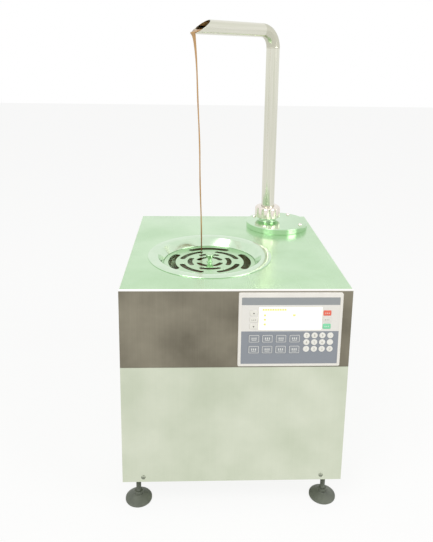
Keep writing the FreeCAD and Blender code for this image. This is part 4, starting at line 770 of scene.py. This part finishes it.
display, tree, shader = new_finish("backlit_display_glass", Roughness=0.12, IOR=1.5, Emission_Strength=0.55)
shader.inputs["Base Color"].default_value = linear("#fdfce9")
shader.inputs["Emission Color"].default_value = linear("#fdfce6")
nodes["lcd_module"].data.materials.clear()
nodes["lcd_module"].data.materials.append(display)


def printed_mark(name, shapes, y, material, body):
    """Flat shapes in one mesh that face the front at a depth y; each shape is a list of (x, z) corners."""
    points = [(x, y, z) for shape in shapes for x, z in shape]
    starts = np.cumsum([0] + [len(shape) for shape in shapes])
    faces = [list(range(a, b)) for a, b in zip(starts, starts[1:])]
    mesh = bpy.data.meshes.new(name)
    mesh.from_pydata(points, [], faces)
    mesh.materials.append(material)
    piece = bpy.data.objects.new(name, mesh)
    bpy.context.scene.collection.objects.link(piece)
    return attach(piece, body)


def bar(x, z, width, height):
    """The corners of an upright rectangle, in the order that makes it face the front."""
    return [(x - width / 2, z - height / 2), (x + width / 2, z - height / 2),
            (x + width / 2, z + height / 2), (x - width / 2, z + height / 2)]


lcd_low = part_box("lcd_module")[0]
window_x, window_top = overlay_low.x + 0.0360, TOP - 0.0328
yellow_mark, tree, shader = new_finish("display_marks", Roughness=0.5)
shader.inputs["Base Color"].default_value = linear("#f3ee9a")
marks = [bar(window_x + 0.004 + 0.0045 * i, window_top - 0.0052, 0.0036, 0.0044) for i in range(10)]
marks += [bar(window_x + 0.0070, window_top - drop, 0.0044, 0.0042) for drop in (0.0163, 0.0248, 0.0343)]
marks += [bar(window_x + 0.0610, window_top - 0.0163, 0.0050, 0.0042)]
printed_mark("display_page", marks, lcd_low.y - 0.00006, yellow_mark, "casing")

# Keys: moulded caps that show through the overlay, white, grey, red and green, each on its own dome switch.
# Their faces are slightly crowned; numbers and plain signs are printed on them in grey or white.

KEY_LIP = 0.0006
KEY_EDGE = 0.0009
KEY_WHITE = "#f1efe9"
CAP_DEPTH = 0.00012
CAP_CROWN = 0.00006
KEY_COLOURS = {"stop_key": "#f0705a", "start_key": "#86dfae", "reset_key": "#e9e6df"}
KEY_COLOURS.update({name: "#eceae2" for name in ("up_key", "page_key", "down_key")})
KEY_COLOURS.update({"function_key_%d" % i: "#93979e" for i in range(1, 9)})


def rounded_outline(width, height, corner, columns=48):
    """A rectangle with rounded corners: corner centre + corner * (cos a, sin a), one quadrant at a time."""
    a = np.concatenate([np.linspace(q, q + 1, columns // 4) * np.pi / 2 for q in range(4)])
    quadrant = np.repeat(np.arange(4), columns // 4)
    side_x = np.where((quadrant == 0) | (quadrant == 3), 1, -1)
    side_z = np.where(quadrant < 2, 1, -1)
    return np.column_stack([side_x * (width / 2 - corner) + corner * np.cos(a),
                            side_z * (height / 2 - corner) + corner * np.sin(a)])


def key_plastic(code):
    """Moulded key plastic of one colour, with the faint mottle of a satin tool."""
    material, tree, shader = new_finish("key_plastic_" + code[1:], Roughness=0.34, IOR=1.49)
    place = add(tree, "ShaderNodeTexCoord").outputs["Object"]
    grain = add(tree, "ShaderNodeTexNoise", {"Vector": place, "Scale": 900.0, "Detail": 2.0})
    shade = add(tree, "ShaderNodeMapRange", {0: grain.outputs[0], 1: 0.3, 2: 0.7, 3: 0.95, 4: 1.0})
    tone = add(tree, "ShaderNodeMix", {0: 1.0, 6: linear(code), 7: shade.outputs[0]}, data_type="RGBA",
               blend_type="MULTIPLY")
    tree.links.new(tone.outputs[2], shader.inputs["Base Color"])
    return material


key_materials = {code: key_plastic(code) for code in sorted(set(KEY_COLOURS.values()) | {KEY_WHITE})}
key_nodes = [name for name in nodes if name.startswith(("key_", "function_key_")) or name.endswith("_key")]
for name in sorted(key_nodes):
    low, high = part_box(name)
    width, height = high.x - low.x - 2 * KEY_LIP, high.z - low.z - 2 * KEY_LIP
    x, z = (low.x + high.x) / 2, (low.z + high.z) / 2
    corner_r = width / 2 if name.startswith("key_") else 0.0015
    front = low.y + CAP_DEPTH
    rows = [(0.0, high.y, 0.5), (0.0, high.y, 1.0), (0.0, front + KEY_EDGE, 1.0)]
    rows += [(KEY_EDGE * (1 - math.cos(t)), front + KEY_EDGE * (1 - math.sin(t)), 1.0)
             for t in np.linspace(0.3, 1.5, 5)]
    rings = [rounded_outline((width - 2 * inset) * k, (height - 2 * inset) * k,
                             max(corner_r - inset, 0.0003) * k) for inset, _, k in rows]
    points = np.array([np.column_stack([x + ring[:, 0], np.full(len(ring), y), z + ring[:, 1]])
                       for ring, (_, y, _) in zip(rings, rows)])
    middle = np.tile([x, front - CAP_CROWN, z], (1, points.shape[1], 1))
    back = np.tile([x, high.y, z], (1, points.shape[1], 1))
    mesh = grid_piece(name + "_cap", np.concatenate([back, points, middle]))
    plastic = key_materials[KEY_COLOURS.get(name, KEY_WHITE)]
    cap = rounded_piece(name + "_cap", mesh, 0.0001, 1, [plastic], name)

# Key prints: screen-printed ink that stands a few hundredths of a millimetre off the crowned caps.
# White frames and signs on the slate keys and the coloured ones, grey or dark signs on the rest.

INK_DEPTH = 0.00002
NUMBER_SIZE = 0.0068
FRAME_W, FRAME_H, FRAME_CORNER, FRAME_LINE = 0.0188, 0.0144, 0.0018, 0.0008

white_ink, tree, shader = new_finish("white_screen_ink", Roughness=0.5)
shader.inputs["Base Color"].default_value = linear("#e9e9e6")
grey_ink, tree, shader = new_finish("grey_screen_ink", Roughness=0.5)
shader.inputs["Base Color"].default_value = linear("#a9a59c")
black_ink, tree, shader = new_finish("black_screen_ink", Roughness=0.5)
shader.inputs["Base Color"].default_value = linear("#4a4842")


def frame_shapes(x, z, width, height, corner, line):
    """A rounded frame as quads between an outer and an inner outline."""
    outer = rounded_outline(width, height, corner) + [x, z]
    inner = rounded_outline(width - 2 * line, height - 2 * line, corner - line) + [x, z]
    after = np.roll(np.arange(len(outer)), -1)
    return [[tuple(outer[i]), tuple(outer[j]), tuple(inner[j]), tuple(inner[i])]
            for i, j in enumerate(after) if np.hypot(*(outer[i] - outer[j])) > 1e-7]


def number_mark(name, text, x, z, size, y, material, body):
    """A printed number: the built-in face as a flat mesh, stood up to face the front."""
    words = bpy.data.curves.new(name, "FONT")
    words.body = text
    words.size = size
    words.align_x = "CENTER"
    words.align_y = "CENTER"
    letters = bpy.data.objects.new(name, words)
    bpy.context.scene.collection.objects.link(letters)
    mesh = bpy.data.meshes.new_from_object(letters)
    bpy.data.objects.remove(letters)
    mesh.transform(Matrix.Translation((x, y, z)) @ Matrix.Rotation(math.pi / 2, 4, "X"))
    mesh.materials.clear()
    mesh.materials.append(material)
    piece = bpy.data.objects.new(name, mesh)
    bpy.context.scene.collection.objects.link(piece)
    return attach(piece, body)


for name in sorted(key_nodes):
    low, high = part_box(name)
    x, z = (low.x + high.x) / 2, (low.z + high.z) / 2
    front = low.y + INK_DEPTH
    if name.startswith("function_key"):
        shapes = frame_shapes(x, z, FRAME_W, FRAME_H, FRAME_CORNER, FRAME_LINE)
        printed_mark(name + "_frame", shapes, front, white_ink, name)
        signs = [bar(x + dx, z + 0.0004, 0.0016, 0.0042) for dx in (-0.0036, 0, 0.0036)]
        signs += [bar(x, z - 0.0034, 0.0088, 0.0008)]
        printed_mark(name + "_sign", signs, front, white_ink, name)
    elif name in ("up_key", "down_key"):
        tip = 0.0016 if name == "up_key" else -0.0016
        order = [(x - 0.0018, z - tip * 0.7), (x + 0.0018, z - tip * 0.7), (x, z + tip)]
        printed_mark(name + "_sign", [order if tip > 0 else order[::-1]], front, black_ink, name)
    elif name.endswith("_key"):
        ink = grey_ink if name in ("page_key", "reset_key") else white_ink
        printed_mark(name + "_sign", [bar(x + dx, z, 0.0013, 0.0022) for dx in (-0.0032, 0, 0.0032)],
                     front, ink, name)
    else:
        text = {"key_clear": "-", "key_point": "."}.get(name, name[-1])
        number_mark(name + "_number", text, x, z, NUMBER_SIZE, front, grey_ink, name)

# ---------------------------------------------------------------------------------------------------------
# Inner works: what the casing hides.  Each keeps its solid and gets its real finish.

INNER = (
    ("silicone_rubber", "#8a4b3a", 0.0, 0.7, ("tank_heater",)),
    ("turned_stainless", "#c4c9bb", 1.0, 0.3,
     ("stirrer", "tempering_cylinder", "tempering_screw", "transfer_pipe")),
    ("motor_enamel", "#5f6f7c", 0.0, 0.45, ("stirrer_gearmotor", "screw_gearmotor")),
    ("compressor_enamel", "#23262a", 0.0, 0.35, ("compressor",)),
    ("finned_aluminium", "#b9bcbd", 1.0, 0.4, ("condenser",)),
    ("glass_filled_nylon", "#2c2d2f", 0.0, 0.5, ("condenser_fan",)),
    ("drawn_copper", "#c98a62", 1.0, 0.28, ("refrigerant_lines",)),
    ("green_laminate", "#2f6b45", 0.0, 0.5, ("control_board",)),
    ("black_thermoplastic", "#2a2b2c", 0.0, 0.4, ("power_inlet",)),
)
for finish, code, metallic, roughness, members in INNER:
    material, tree, shader = new_finish(finish, Metallic=metallic, Roughness=roughness)
    place = add(tree, "ShaderNodeTexCoord").outputs["Object"]
    mottle = add(tree, "ShaderNodeTexNoise", {"Vector": place, "Scale": 120.0, "Detail": 4.0})
    shade = add(tree, "ShaderNodeMapRange", {0: mottle.outputs[0], 1: 0.3, 2: 0.7, 3: 0.82, 4: 1.0})
    tone = add(tree, "ShaderNodeMix", {0: 1.0, 6: linear(code), 7: shade.outputs[0]}, data_type="RGBA",
               blend_type="MULTIPLY")
    relief = add(tree, "ShaderNodeBump", {"Height": mottle.outputs[0], "Strength": 0.1, "Distance": 0.0003})
    tree.links.new(tone.outputs[2], shader.inputs["Base Color"])
    tree.links.new(relief.outputs[0], shader.inputs["Normal"])
    for member in members:
        nodes[member].data.materials.clear()
        nodes[member].data.materials.append(material)
